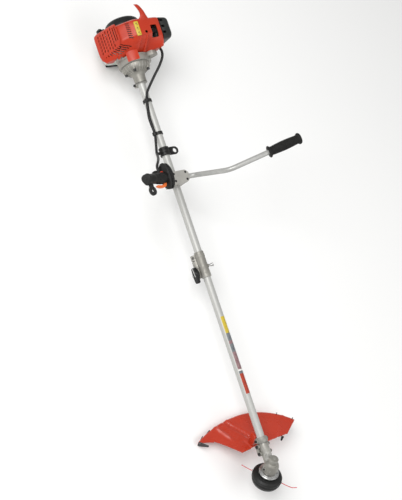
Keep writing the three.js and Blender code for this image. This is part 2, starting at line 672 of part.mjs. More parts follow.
function gearbox() {
  const body = turned([
    [-45, 0], [-45, 13], [-42, 14.5], [-24, 14.5], [-20, 22], [-8, 27], [8, 27], [16, 25],
    [21.5, 23], [21.5, 0],
  ], 24);
  const neck = rod(20, shaftPoint(-84), shaftPoint(-6), 24);
  const socket = rod(18.5, shaftPoint(-86), shaftPoint(-40), 24);
  const tubeBore = rod(TUBE_RADIUS + GAP, shaftPoint(-100), shaftPoint(-45), 28);
  const gearRoom = rod(17, shaftPoint(-46), shaftPoint(-2), 20);
  const bevelRoom = rod(22, [-14, 0, 0], [14, 0, 0], 24);
  const outBore = rod(6.6, [0, 0, 0], [40, 0, 0], 16);
  const housing = cut(join(body, neck, socket), tubeBore, gearRoom, bevelRoom, outBore);
  add('gearbox_housing', housing, CAST, headFrame);

  const pinion = cut(
    rod(9, shaftPoint(-40), shaftPoint(-24), 16, 12),
    rod(DRIVE_RADIUS + GAP, shaftPoint(-60), shaftPoint(0), 12),
  );
  add('pinion_gear', pinion, STEEL, headFrame);
  const bevel = turned([[-2, 6.3], [-2, 12], [8, 19], [13, 19], [13, 6.3], [-2, 6.3]], 24);
  add('bevel_gear', bevel, STEEL, headFrame);
  add('output_shaft', rod(6, [-10, 0, 0], [44, 0, 0], 16), STEEL, headFrame);
}

function cuttingHead() {
  add('drive_flange', turned([
    [22.2, 6.3], [22.2, 30], [25, 36], [31, 36], [31, 20], [36, 20], [36, 6.3], [22.2, 6.3],
  ], 32), STEEL, headFrame);
  const shell = turned([
    [36.4, 6.4], [36.4, 26], [39, 46], [44, 52], [54, HEAD_RADIUS], [62, HEAD_RADIUS],
    [76, 50], [82, 40], [82, 23], [79, 23], [79, 38], [74, 47], [62, 51], [54, 51], [45, 49],
    [42, 44], [39.6, 26], [39.6, 6.4], [36.4, 6.4],
  ], 28);
  add('head_housing', cut(shell, rod(2.3, [56, -42, -56], [56, 42, 56], 8)), BLACK, headFrame);
  const spool = turned([
    [47, 23.5], [47, 43], [49.5, 43], [49.5, 26], [66, 26], [66, 43], [68.5, 43], [68.5, 23.5],
    [47, 23.5],
  ], 20);
  add('line_spool', spool, ORANGE, headFrame);
  const coil = [];
  for (let i = 0; i <= 36; i++) {
    const angle = (i / 12) * Math.PI * 2;
    coil.push([50 + i * 0.42, 12 * Math.cos(angle), 12 * Math.sin(angle)]);
  }
  add('head_spring', swept(1.1, smoothPath(coil), 48, 5), STEEL, headFrame);
  const knob = turned([
    [74.5, 0], [74.5, 22], [86, 22], [90, 24], [96, 21], [98, 12], [98, 0],
  ], 24);
  add('bump_knob', knob, BLACK, headFrame);
}

// Short ends of nylon line, one each side, leaving through the eyelets.
function cuttingLines() {
  const straight = [[56, -27, -36], [56, -36, -48], [56, -46, -64], [56, -55, -81]];
  const curved = [[56, 27, 36], [56, 36, 48], [56.4, 47, 64], [57, 59, 76], [57.5, 75, 82]];
  add('cutting_line_right', swept(1.35, smoothPath(straight), 8, 8), LINE, headFrame);
  add('cutting_line_left', swept(1.35, smoothPath(curved), 12, 8), LINE, headFrame);
}

// ---------------------------------------------------------------- guard

// Angle about the head's axis, from straight back, positive to the left.
function guardPoint(angle, radius, height) {
  return [height, radius * Math.sin(angle), -radius * Math.cos(angle)];
}

function guardHeight(angle) {
  const fold = THREE.MathUtils.degToRad(GUARD_FOLD);
  return GUARD_TOP + Math.max(fold - angle, 0) * FLANK_DROP;
}

// The rim stands a little further out towards both ends.
function guardRim(angle) {
  return GUARD_RADIUS + (angle < 0 ? 55 * angle * angle : 15 * angle);
}

function guardInner(angle) {
  const front = 96 / Math.cos(Math.min(Math.abs(angle), 0.98));
  const slope = THREE.MathUtils.degToRad(GUARD_CUT);
  const cutBack = Math.max(slope - angle, 0) * CUT_SLOPE;
  return Math.min(front + cutBack, GUARD_RADIUS - 24);
}

function guard() {
  const degrees = [GUARD_ENDS[0], -34.5, GUARD_CUT, -22, -16, GUARD_FOLD, 0, 8, 16, 24, 32, 40, 48, GUARD_ENDS[1]];
  const stations = degrees.map(THREE.MathUtils.degToRad);
  const section = (angle) => {
    const inner = guardInner(angle);
    const rim = guardRim(angle);
    const top = guardHeight(angle);
    const low = top + GUARD_SKIRT;
    return [
      [inner, top], [rim - 8, top], [rim, top + 5], [rim, low],
      [rim - GUARD_SHEET, low], [rim - GUARD_SHEET, top + 6],
      [rim - 9, top + GUARD_SHEET], [inner, top + GUARD_SHEET],
    ];
  };
  const shield = loft(stations, section, (angle, r, h) => guardPoint(angle, r, h));
  add('guard', shield, RED, headFrame);
}

function guardBracket() {
  const collar = rod(23, shaftPoint(-108), shaftPoint(-88), 24);
  const bore = rod(TUBE_RADIUS + GAP, shaftPoint(-190), shaftPoint(-60), 24);
  const web = block([-56, GUARD_TOP - GAP], [-14, 14], [-124, -98]);
  add('guard_bracket', cut(join(collar, web), bore), CAST, headFrame);
}

// A flat plate on the guard's right-hand end, which trims the line to length.
function cutterBlade() {
  const end = THREE.MathUtils.degToRad(GUARD_ENDS[0]);
  const rim = guardRim(end);
  const top = guardHeight(end) + 1;
  const low = top + GUARD_SKIRT;
  const outline = () => [
    [rim - 44, top], [rim - 1, top], [rim - 1, low], [rim - 16, low], [rim - 44, top + 10],
  ];
  const place = (s, r, h) => [
    h,
    r * Math.sin(end) + s.offset * Math.cos(end),
    s.offset * Math.sin(end) - r * Math.cos(end),
  ];
  const sheet = loft([{ offset: -GAP - 2 }, { offset: -GAP }], outline, place);
  add('cutter_blade', sheet, STEEL, headFrame);
}

// ---------------------------------------------------------------- assembly

engineShroud();
muffler();
cylinderAndPiston();
crankcaseAndCrank();
flywheelAndClutch();
fanHousing();
clutchCase();
fuelSystem();
tankStand();
airIntake();
starter();
shaft();
shaftCoupler();
harnessRing();
handlebar();
handlebarClamp();
leftGrip();
throttle();
throttleCable();
cableStraps();
gearbox();
cuttingHead();
cuttingLines();
guard();
guardBracket();
cutterBlade();

export default group;
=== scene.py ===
# The looks of a petrol string trimmer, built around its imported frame. Metres, +Z up.
import json
import math

import bmesh
import bpy
from mathutils import Matrix, Vector


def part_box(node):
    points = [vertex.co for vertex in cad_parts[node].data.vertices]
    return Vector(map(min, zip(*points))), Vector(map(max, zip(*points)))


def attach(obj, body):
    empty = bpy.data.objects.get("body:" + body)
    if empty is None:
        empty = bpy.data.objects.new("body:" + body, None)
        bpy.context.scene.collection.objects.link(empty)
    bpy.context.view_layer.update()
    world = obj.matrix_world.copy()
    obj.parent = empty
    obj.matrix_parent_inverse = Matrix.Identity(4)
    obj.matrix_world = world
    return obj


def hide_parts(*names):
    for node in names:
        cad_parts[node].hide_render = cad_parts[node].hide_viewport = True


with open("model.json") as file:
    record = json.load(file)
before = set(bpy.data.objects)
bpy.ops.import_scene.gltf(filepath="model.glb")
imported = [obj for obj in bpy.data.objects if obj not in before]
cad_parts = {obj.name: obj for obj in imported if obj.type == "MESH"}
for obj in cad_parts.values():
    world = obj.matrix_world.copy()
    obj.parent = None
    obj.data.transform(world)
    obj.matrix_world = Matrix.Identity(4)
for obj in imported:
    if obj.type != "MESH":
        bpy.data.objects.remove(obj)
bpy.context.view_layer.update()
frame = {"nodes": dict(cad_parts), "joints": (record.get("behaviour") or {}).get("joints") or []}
JOINTS = {joint["name"]: joint for joint in frame["joints"]}

# ---- places, from the frame

MM = 0.001
TUBE_START = -690                # the upper tube's rear end, from the shaft's zero
tube_low, tube_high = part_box("upper_tube")
ORIGIN = Vector((
    tube_low.x - TUBE_START * MM,
    (tube_low.y + tube_high.y) / 2,
    (tube_low.z + tube_high.z) / 2,
))
HEAD_ORIGIN = Vector(JOINTS["head_spin"]["pos_m"])
HEAD_DOWN = Vector(JOINTS["head_spin"]["axis"])
LEFT = Vector((0, 1, 0))
HEAD_FORE = HEAD_DOWN.cross(LEFT)
GRIP_OUT = Vector(JOINTS["stop_switch_slide"]["axis"])
GRIP_ACROSS = Vector(JOINTS["trigger_squeeze"]["axis"])
GRIP_FINGERS = GRIP_ACROSS.cross(GRIP_OUT)
RIGHT_BEND = Vector((-240, -120, 178))
THROTTLE_START = 30              # from the bar's right-hand bend to the throttle's flange

MAIN = "powerhead_and_shaft"
LOWER = "lower_shaft"
TUBE_RADIUS = 14
GAP = 0.3
TUBE_BORE = TUBE_RADIUS + GAP    # what is clamped on the tube
BAR_RADIUS = 9.5
GUARD_RADIUS = 240
GUARD_TOP = -6                   # the sheet's height along the head's axis
GUARD_SHEET = 3
GUARD_SKIRT = 21                 # how far the rim hangs below the sheet
GUARD_EDGE = 8                   # the outer radius of the bend at the rim
GUARD_ENDS = (math.radians(-40), math.radians(57))


def shaft(p):
    """A point about the shaft's axis, in millimetres: x along, y left, z up."""
    return ORIGIN + Vector(p) * MM


def head(p):
    """A point about the head's axis: x down along it, y left, z forward and up."""
    return HEAD_ORIGIN + (HEAD_DOWN * p[0] + LEFT * p[1] + HEAD_FORE * p[2]) * MM


def grip(p):
    """A point about the throttle's axis: x out along the bar, y to the fingers, z across."""
    start = shaft(RIGHT_BEND) + GRIP_OUT * THROTTLE_START * MM
    return start + (GRIP_OUT * p[0] + GRIP_FINGERS * p[1] + GRIP_ACROSS * p[2]) * MM


# ---- camera

CAMERA_AWAY = Vector((-0.1300, 0.5400, -0.8320)).normalized()
CAMERA_RIGHT = Vector((0.3180, 0.8170, 0.4810))
CAMERA_AIM = (0, 9.65, 6.27)
CAMERA_DISTANCE = 3500
camera_data = bpy.data.cameras.new("camera")
camera_data.lens = 70.2
camera_data.clip_end = 50
camera = bpy.data.objects.new("camera", camera_data)
bpy.context.scene.collection.objects.link(camera)
back = -CAMERA_AWAY
side = (CAMERA_RIGHT - back * CAMERA_RIGHT.dot(back)).normalized()
turn = Matrix((side, back.cross(side), back)).transposed().to_4x4()
camera.matrix_world = Matrix.Translation(shaft(CAMERA_AIM) + back * CAMERA_DISTANCE * MM) @ turn
bpy.context.scene.camera = camera


# ---- mesh making

def link_mesh(name, verts, faces):
    mesh = bpy.data.meshes.new(name)
    mesh.from_pydata([tuple(v) for v in verts], [], faces)
    built = bmesh.new()
    built.from_mesh(mesh)
    bmesh.ops.remove_doubles(built, verts=built.verts, dist=1e-7)
    bmesh.ops.recalc_face_normals(built, faces=built.faces)
    built.to_mesh(mesh)
    built.free()
    obj = bpy.data.objects.new(name, mesh)
    bpy.context.scene.collection.objects.link(obj)
    return obj


def skin(rows, closed=False):
    """A solid through rows of points. Closed joins the last row to the first."""
    count = len(rows[0])
    verts = [v for row in rows for v in row]
    faces = []
    for i in range(len(rows) if closed else len(rows) - 1):
        here, there = i * count, (i + 1) % len(rows) * count
        for j in range(count):
            k = (j + 1) % count
            faces.append((here + j, here + k, there + k, there + j))
    if not closed:
        faces.append(tuple(reversed(range(count))))
        faces.append(tuple(range((len(rows) - 1) * count, len(rows) * count)))
    return link_mesh("solid", verts, faces)


def turns(count, start=0.0):
    """Angles spread evenly round a circle."""
    return [start + i / count * math.tau for i in range(count)]


def polar(radius, angle):
    return radius * math.cos(angle), radius * math.sin(angle)


def turned(space, angle):
    """A space turned about its own x axis."""
    c, s = math.cos(angle), math.sin(angle)
    return lambda p: space((p[0], p[1] * c - p[2] * s, p[1] * s + p[2] * c))


def across(p):
    """For an outline (y, z) that runs along the shaft's axis."""
    return shaft((p[2], p[0], p[1]))


def arc_strip(x, angles, outer, inner):
    """The section at x of a thin strip curved about the shaft's axis."""
    made = [shaft((x, *polar(outer, a))) for a in angles]
    return made + [shaft((x, *polar(inner, a))) for a in reversed(angles)]


def loft(stations, outline, place):
    """Outlines (u, v) at stations, put in space by place(station, u, v)."""
    return skin([[place(s, u, v) for u, v in outline(s)] for s in stations])


def lathe(profile, space=shaft, sides=56, centre=(0, 0)):
    """A profile of (x, radius) turned about the x axis of a space. It closes on itself or on the axis."""
    on_itself = profile[0] == profile[-1]
    rows = []
    for x, radius in profile[:-1] if on_itself else profile:
        rows.append([
            space((x, centre[0] + radius * math.cos(a),
            centre[1] + radius * math.sin(a))) for a in turns(sides)
        ])
    return skin(rows, on_itself)


def circle(radius, sides=24, squash=1.0, centre=(0, 0)):
    return [
        (centre[0] + radius * math.cos(a), centre[1] + squash * radius * math.sin(a)) for a in turns(sides)
    ]


def corner_curve(before, corner, after, steps):
    shares = [step / steps for step in range(steps + 1)]
    return [before * (1 - t) ** 2 + corner * 2 * t * (1 - t) + after * t * t for t in shares]


def rounded(points, radius, steps=4):
    """A polygon with its corners rounded."""
    made = []
    for i, point in enumerate(points):
        corner = Vector(point)
        before, after = Vector(points[i - 1]) - corner, Vector(points[(i + 1) % len(points)]) - corner
        start = corner + before.normalized() * min(radius, before.length * 0.45)
        end = corner + after.normalized() * min(radius, after.length * 0.45)
        made += [tuple(p) for p in corner_curve(start, corner, end, steps)]
    return made


def axes_towards(direction):
    """Two unit vectors square to a direction."""
    forward = Vector(direction).normalized()
    helper = Vector((0, 0, 1)) if abs(forward.z) < 0.9 else Vector((1, 0, 0))
    first = helper.cross(forward).normalized()
    return first, forward.cross(first)


def smooth_path(points, steps=8):
    """A Catmull-Rom curve through points."""
    knots = [Vector(p) for p in points]
    knots = [knots[0] * 2 - knots[1]] + knots + [knots[-1] * 2 - knots[-2]]
    made = []
    for i in range(1, len(knots) - 2):
        a, b, c, d = knots[i - 1:i + 3]
        for step in range(steps):
            t = step / steps
            made.append(0.5 * (2 * b + (c - a) * t + (2 * a - 5 * b + 4 * c - d) * t * t
                    + (3 * b - a - 3 * c + d) * t ** 3))
    made.append(knots[-2])
    return made


def bent_path(corners, bend, steps):
    """Straight runs between corners, with each corner rounded."""
    made = [Vector(corners[0])]
    for i in range(1, len(corners) - 1):
        corner = Vector(corners[i])
        before = corner + (Vector(corners[i - 1]) - corner).normalized() * bend
        after = corner + (Vector(corners[i + 1]) - corner).normalized() * bend
        made += corner_curve(before, corner, after, steps)
    made.append(Vector(corners[-1]))
    return made


def sweep(path, radius, sides=20, space=shaft):
    """A bar along a path. radius is a number or a function of the distance along it."""
    points = [space(p) for p in path]
    first = axes_towards(points[1] - points[0])[0]
    rows = []
    distance = 0.0
    for i, point in enumerate(points):
        ahead = points[min(i + 1, len(points) - 1)] - points[max(i - 1, 0)]
        forward = ahead.normalized()
        first = (first - forward * first.dot(forward)).normalized()
        second = forward.cross(first)
        if i:
            distance += (point - points[i - 1]).length / MM
        size = (radius(distance) if callable(radius) else radius) * MM
        rows.append([
            point + (first * math.cos(a) + second * math.sin(a)) * size for a in turns(sides)
        ])
    return skin(rows)


def rod(radius, start, end, sides=32, space=shaft, bevel=0.0, end_radius=None):
    """A straight round bar between two points, with its edges rounded."""
    a, b = space(start), space(end)
    first, second = axes_towards(b - a)
    last = radius if end_radius is None else end_radius
    length = (b - a).length / MM
    rings = [(0, radius - bevel), (bevel * 0.3, radius - bevel * 0.3), (bevel, radius),
            (length - bevel, last), (length - bevel * 0.3, last - bevel * 0.3), (length, last - bevel)]
    if not bevel:
        rings = [(0, radius), (length, last)]
    direction = (b - a).normalized()
    rows = []
    for along, size in rings:
        rows.append([
            a + (direction * along + first * size * math.cos(t) + second * size * math.sin(t)) * MM
            for t in turns(sides)
        ])
    return skin(rows)


def prism(outline, low, high, space, bevel=0.0):
    """An outline (u, v) run from low to high. space takes (u, v, w)."""
    levels = [(low, 0), (high, 0)]
    if bevel:
        levels = [(low, bevel), (low + bevel * 0.3, bevel * 0.3), (low + bevel, 0),
                (high - bevel, 0), (high - bevel * 0.3, bevel * 0.3), (high, bevel)]
    middle = Vector((sum(u for u, v in outline), sum(v for u, v in outline))) / len(outline)
    reach = max((Vector(p) - middle).length for p in outline)
    rows = []
    for level, inset in levels:
        shrink = 1 - inset / reach
        rows.append([
            space((middle.x + (u - middle.x) * shrink, middle.y + (v - middle.y) * shrink, level))
            for u, v in outline
        ])
    return skin(rows)


def block(x, y, z, space=shaft, corner=0.0, bevel=0.0):
    outline = [(x[0], y[0]), (x[1], y[0]), (x[1], y[1]), (x[0], y[1])]
    if corner:
        outline = rounded(outline, corner)
    return prism(outline, z[0], z[1], space, bevel)


def stadium(centre, along, normal, length, width, depth, space=shaft):
    """A long hole with round ends, as a solid to cut with."""
    u = Vector(along).normalized()
    n = Vector(normal)
    n = (n - u * n.dot(u)).normalized()
    v = n.cross(u)
    half = length / 2 - width / 2
    outline = []
    for angle in turns(12, math.pi / 12):
        shift = half if math.cos(angle) > 0 else -half
        outline.append((shift + width / 2 * math.cos(angle), width / 2 * math.sin(angle)))
    middle = Vector(centre)
    rows = [[space(middle + u * a + v * b + n * w) for a, b in outline] for w in (-depth / 2, depth / 2)]
    return skin(rows)


def gather(objects):
    """Separate solids in one mesh."""
    verts, faces = [], []
    for obj in objects:
        start = len(verts)
        verts.extend(v.co.copy() for v in obj.data.vertices)
        faces.extend(tuple(start + k for k in p.vertices) for p in obj.data.polygons)
        bpy.data.objects.remove(obj)
    return link_mesh("solid", verts, faces)


def settle(obj):
    """Applies an object's modifiers."""
    bpy.context.view_layer.update()
    graph = bpy.context.evaluated_depsgraph_get()
    mesh = bpy.data.meshes.new_from_object(obj.evaluated_get(graph))
    obj.modifiers.clear()
    obj.data = mesh
    return obj


def combine(base, others, operation):
    for other in others:
        step = base.modifiers.new(operation, "BOOLEAN")
        step.operation = operation
        step.solver = "MANIFOLD"
        step.object = other
    settle(base)
    for other in others:
        bpy.data.objects.remove(other)
    return base


def cut(base, *others):
    return combine(base, others, "DIFFERENCE")


def join(base, *others):
    return combine(base, others, "UNION")


def soften(obj, width, segments=2, angle=40):
    """Rounds an object's edges."""
    edge = obj.modifiers.new("edge", "BEVEL")
    edge.width = width * MM
    edge.segments = segments
    edge.limit_method = "ANGLE"
    edge.angle_limit = math.radians(angle)
    return settle(obj)


def screw(at, direction, radius, height, space=shaft):
    """A socket-head screw standing on a face."""
    start = Vector(at)
    up = Vector(direction).normalized()
    body = rod(radius, start - up * 1.5, start + up * height, 28, space, bevel=0.5)
    return cut(body, rod(radius * 0.5, start + up * height * 0.4, start + up * (height + 2), 6, space))


# ---- materials

def put(made, **values):
    """Sets a node's own inputs. An underscore stands for a space in an input's name."""
    for key, value in values.items():
        made.inputs[key.replace("_", " ")].default_value = value


def node(tree, kind, **values):
    made = tree.nodes.new(kind)
    for key, value in values.items():
        setattr(made, key, value)
    return made


def placed(tree, made, stretch=(1, 1, 1), seed=0.0):
    """Lays a texture over the object, in the object's own coordinates."""
    place = node(tree, "ShaderNodeTexCoord")
    mapping = node(tree, "ShaderNodeMapping")
    put(mapping, Scale=stretch, Location=(seed, seed * 0.7, seed * 1.3))
    tree.links.new(place.outputs["Object"], mapping.inputs["Vector"])
    tree.links.new(mapping.outputs["Vector"], made.inputs["Vector"])


def noise(tree, scale, detail=3.0, stretch=(1, 1, 1), seed=0.0):
    """Noise over the object. Scale is in features per metre."""
    made = node(tree, "ShaderNodeTexNoise")
    put(made, Scale=scale, Detail=detail)
    placed(tree, made, stretch, seed)
    return made.outputs["Fac"]


def spread(tree, value, low, high, start=0.3, end=0.7):
    made = node(tree, "ShaderNodeMapRange")
    put(made, From_Min=start, From_Max=end, To_Min=low, To_Max=high)
    tree.links.new(value, made.inputs["Value"])
    return made.outputs["Result"]


def bumped(tree, height, strength, depth):
    made = node(tree, "ShaderNodeBump")
    put(made, Strength=strength, Distance=depth * MM)
    tree.links.new(height, made.inputs["Height"])
    return made


def mixed(tree, share, first, second):
    """Blends two colours, each a socket or plain values."""
    made = node(tree, "ShaderNodeMix", data_type="RGBA")
    tree.links.new(share, made.inputs["Factor"])
    colours = [socket for socket in made.inputs if socket.type == "RGBA"]
    for socket, value in zip(colours, (first, second)):
        if isinstance(value, bpy.types.NodeSocket):
            tree.links.new(value, socket)
        else:
            socket.default_value = (*value, 1)
    return next(socket for socket in made.outputs if socket.type == "RGBA")


EDGE_SHARPNESS = (0.53, 0.62)    # the pointiness at which an edge starts to wear, and is worn


def material(name, colour, second, rough, metal=0.0, patches=40, grain=900, grain_depth=0.05, wear=None,
        wear_share=0.5, stretch=(1, 1, 1), coat=0.0, specular=0.5, dimples=0.0, dimple_scale=700):
    """A finish: two colours in patches, roughness that varies, fine bump and worn edges."""
    made = bpy.data.materials.new(name)
    made.use_nodes = True
    tree = made.node_tree
    shader = tree.nodes["Principled BSDF"]
    put(shader, Metallic=metal, Coat_Weight=coat, Specular_IOR_Level=specular)
    cloud = noise(tree, patches, 4.0, stretch)
    base = mixed(tree, spread(tree, cloud, 0, 1), colour, second)
    fine = noise(tree, grain, 3.0, stretch, 3.1)
    if wear:
        geometry = node(tree, "ShaderNodeNewGeometry")
        edge = spread(tree, geometry.outputs["Pointiness"], 0, wear_share, *EDGE_SHARPNESS)
        broken = node(tree, "ShaderNodeMath", operation="MULTIPLY")
        tree.links.new(edge, broken.inputs[0])
        tree.links.new(spread(tree, noise(tree, 160, 4.0, (1, 1, 1), 7.7), 0.2, 1.0), broken.inputs[1])
        base = mixed(tree, broken.outputs["Value"], base, wear)
    tree.links.new(base, shader.inputs["Base Color"])
    gloss = spread(tree, noise(tree, patches * 2.3, 4.0, stretch, 5.2), *rough)
    tree.links.new(gloss, shader.inputs["Roughness"])
    bump = bumped(tree, fine, 0.6, grain_depth)
    if dimples:
        cells = node(tree, "ShaderNodeTexVoronoi")
        put(cells, Scale=dimple_scale)
        placed(tree, cells)
        pits = bumped(tree, cells.outputs["Distance"], 0.8, dimples)
        tree.links.new(bump.outputs["Normal"], pits.inputs["Normal"])
        bump = pits
    tree.links.new(bump.outputs["Normal"], shader.inputs["Normal"])
    return made


RED = material("red_moulding", (0.49, 0.036, 0.011), (0.42, 0.027, 0.008), (0.26, 0.4), patches=14,
        grain=1400, grain_depth=0.03, wear=(0.7, 0.13, 0.07), wear_share=0.5, specular=0.4)
RED_GUARD = material("red_guard", (0.5, 0.036, 0.011), (0.43, 0.027, 0.008), (0.2, 0.34), patches=9,
        grain=800, grain_depth=0.03, wear=(0.7, 0.13, 0.06), wear_share=0.4, coat=0.15)
BLACK = material("black_moulding", (0.007, 0.007, 0.007), (0.013, 0.013, 0.012), (0.36, 0.55), patches=60,
        grain=1500, grain_depth=0.05, wear=(0.06, 0.06, 0.058), dimples=0.05, dimple_scale=1400,
        specular=0.3)
COVER_BLACK = material("cover_black", (0.015, 0.017, 0.016), (0.024, 0.026, 0.025), (0.32, 0.5), patches=30,
        grain=1200, grain_depth=0.04, wear=(0.08, 0.08, 0.078), dimples=0.04, dimple_scale=1200,
        specular=0.35)
RUBBER = material("grip_rubber", (0.006, 0.006, 0.0055), (0.011, 0.011, 0.01), (0.62, 0.82), patches=90,
        grain=2200, grain_depth=0.08, wear=(0.06, 0.06, 0.055), dimples=0.25, dimple_scale=520,
        specular=0.3)
CABLE = material("cable_sheath", (0.006, 0.006, 0.006), (0.011, 0.011, 0.011), (0.4, 0.6), patches=120,
        grain=1800, grain_depth=0.04, wear=(0.07, 0.07, 0.07), specular=0.4)
CAST = material("cast_alloy", (0.33, 0.32, 0.285), (0.26, 0.25, 0.225), (0.42, 0.62), metal=0.55,
        patches=45, grain=900, grain_depth=0.16, wear=(0.72, 0.71, 0.68), wear_share=0.6, dimples=0.05,
        dimple_scale=900)
CLAMP_PAINT = material("clamp_paint", (0.44, 0.43, 0.395), (0.38, 0.37, 0.34), (0.38, 0.55), metal=0.3,
        patches=50, grain=1300, grain_depth=0.06, wear=(0.75, 0.74, 0.7), wear_share=0.5)
TUBE = material("drawn_tube", (0.48, 0.48, 0.455), (0.42, 0.42, 0.4), (0.4, 0.54), metal=0.3, patches=22,
        grain=420, grain_depth=0.03, stretch=(0.04, 1, 1), wear=(0.9, 0.9, 0.88), wear_share=0.3)
BAR_TUBE = material("bent_tube", (0.46, 0.46, 0.44), (0.4, 0.4, 0.385), (0.34, 0.46), metal=0.4, patches=60,
        grain=600, grain_depth=0.02, wear=(0.8, 0.8, 0.78), wear_share=0.3)
STEEL = material("turned_steel", (0.56, 0.56, 0.55), (0.44, 0.44, 0.43), (0.2, 0.38), metal=0.92,
        patches=70, grain=1400, grain_depth=0.04, wear=(0.85, 0.85, 0.84), wear_share=0.4)
DARK_STEEL = material("blackened_screw", (0.022, 0.022, 0.024), (0.04, 0.038, 0.036), (0.3, 0.5), metal=0.6,
        patches=200, grain=1800, grain_depth=0.04, wear=(0.2, 0.2, 0.2))
SOOT = material("burnt_steel", (0.03, 0.026, 0.022), (0.07, 0.055, 0.045), (0.5, 0.75), metal=0.5,
        patches=60, grain=900, grain_depth=0.1)
TANK = material("tank_plastic", (0.74, 0.72, 0.66), (0.66, 0.64, 0.57), (0.34, 0.5), patches=18, grain=700,
        grain_depth=0.05, wear=(0.85, 0.84, 0.8), coat=0.05)
put(TANK.node_tree.nodes["Principled BSDF"], Subsurface_Weight=0.25)
LINE = material("nylon_line", (0.66, 0.04, 0.055), (0.55, 0.025, 0.04), (0.2, 0.36), patches=150,
        grain=1500, grain_depth=0.02)
ORANGE = material("orange_moulding", (0.8, 0.17, 0.03), (0.7, 0.13, 0.02), (0.3, 0.46), patches=60,
        grain=1400, grain_depth=0.03, wear=(0.9, 0.36, 0.16))
FOAM = material("filter_foam", (0.05, 0.052, 0.05), (0.1, 0.1, 0.095), (0.85, 1.0), patches=300, grain=900,
        grain_depth=0.5, dimples=0.8, dimple_scale=600)
CERAMIC = material("glazed_ceramic", (0.78, 0.76, 0.7), (0.7, 0.68, 0.62), (0.12, 0.25), patches=60,
        grain=600, grain_depth=0.01)
CORD = material("starter_cord", (0.62, 0.6, 0.54), (0.48, 0.46, 0.4), (0.7, 0.9), patches=500, grain=1600,
        grain_depth=0.2, dimples=0.3, dimple_scale=1500)


def printed(colour_name, colour, second, patches=80):
    """Smooth printed film."""
    return material(f"label_{colour_name}", colour, second, (0.3, 0.45), patches=patches, grain_depth=0.01)


LABEL = printed("yellow", (0.6, 0.46, 0.04), (0.52, 0.38, 0.03))
WHITE_BAND = printed("white", (0.8, 0.79, 0.76), (0.72, 0.71, 0.68))
GREY_BAND = printed("grey", (0.12, 0.14, 0.15), (0.18, 0.19, 0.2))
MAUVE_BAND = printed("mauve", (0.22, 0.11, 0.12), (0.3, 0.2, 0.2), 120)
RED_BAND = printed("red", (0.42, 0.04, 0.012), (0.34, 0.03, 0.01))


def finish(obj, name, body, slot, look, *nodes, angle=32):
    """Names, shades and paints a piece, puts it on its body, and hides the nodes it stands for."""
    obj.name = name
    obj.data.name = name
    obj.data.materials.clear()
    obj.data.materials.append(look)
    obj.data.polygons.foreach_set("use_smooth", [True] * len(obj.data.polygons))
    obj.data.set_sharp_from_angle(angle=math.radians(angle))
    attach(obj, body)
    if nodes:
        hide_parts(*nodes)
    return obj


def finish_screws(screws, name, body):
    finish(gather(screws), name, body, "steel", DARK_STEEL)


def paint_node(name, look):
    """A CAD node whose shape is right keeps it, and gets its finish."""
    mesh = frame["nodes"][name].data
    mesh.materials.clear()
    mesh.materials.append(look)


# ---- engine shroud

SHROUD_WALL = 2.6
SHROUD_X = (-862, -860, -856, -850, -835, -820, -806, -798, -791, -784, -776, -768, -760, -753)
SHROUD_KEYS = ((-862, (60, 104, 108, 108)), (-855, (71, 116, 119, 119)), (-798, (71, 116, 119, 119)),
        (-784, (60, 101, 106, 117)), (-768, (38, 72, 78, 112)), (-753, (15, 40, 47, 102)))


def between(keys, x):
    """Values at x, from rows of (x, values)."""
    for (a, first), (b, second) in zip(keys, keys[1:]):
        if x <= b:
            t = min(max((x - a) / (b - a), 0), 1)
            return [p + (q - p) * t for p, q in zip(first, second)]
    return list(keys[-1][1])


def shroud_outline(x, wall):
    ridge, crest, top, left = between(SHROUD_KEYS, x)
    floor = 2 if wall else 12
    return rounded([
        (-71 + wall, floor), (-71 + wall, ridge - wall), (-17 + wall * 0.4, crest - wall * 1.2),
        (30, top - wall), (84 - wall, left - wall), (84 - wall, floor),
    ], 7 if wall else 9)


def shroud_shape(wall):
    def place(x, y, z):
        shift = wall if x < -830 else -wall * 0.5
        return shaft((x + shift, y, z))
    return loft(SHROUD_X, lambda x: shroud_outline(x, wall), place)


def slope_slots():
    """The stack of slots in the slanted face, between the ridge and the crest."""
    slope = Vector((0, 54, 45)).normalized()
    normal = Vector((0, -45, 54)).normalized()
    made = []
    for i in range(8):
        centre = Vector((-850 + 7.6 * i, -71, 71)) + slope * 40
        made.append(stadium(centre, slope + Vector((0.4, 0, 0)), normal, 17, 3.8, 16))
    return made


LOUVRES = 10
LOUVRE_TOP = (Vector((-790, -68, 60)), Vector((-774, -36, 71)))
LOUVRE_FOOT = (Vector((-779, -101, -24)), Vector((-766, -85, -25)))


def louvres():
    """The stack of slots across the engine's front left edge, cut in both covers."""
    made = []
    for i in range(LOUVRES):
        t = i / (LOUVRES - 1)
        start, end = (a.lerp(b, t) for a, b in zip(LOUVRE_TOP, LOUVRE_FOOT))
        facing = Vector((0.5, -0.5, 0.7))
        made.append(stadium((start + end) / 2, end - start, facing, (end - start).length + 4, 3.8, 26))
    return gather(made)


def shroud_ribs():
    """The raised ribs that run over the front edge and down the face."""
    made = []
    for y, drop in ((-6, -2), (20, 2), (50, 2)):
        path = [(-797, y, 112 + drop), (-787, y, 104 + drop),
                (-776, y, 86 + drop * 2), (-766, y, 69 + drop * 3), (-757, y, 52 + drop * 3)]
        made.append(sweep(smooth_path(path, 5), 5.2, 14))
    return made


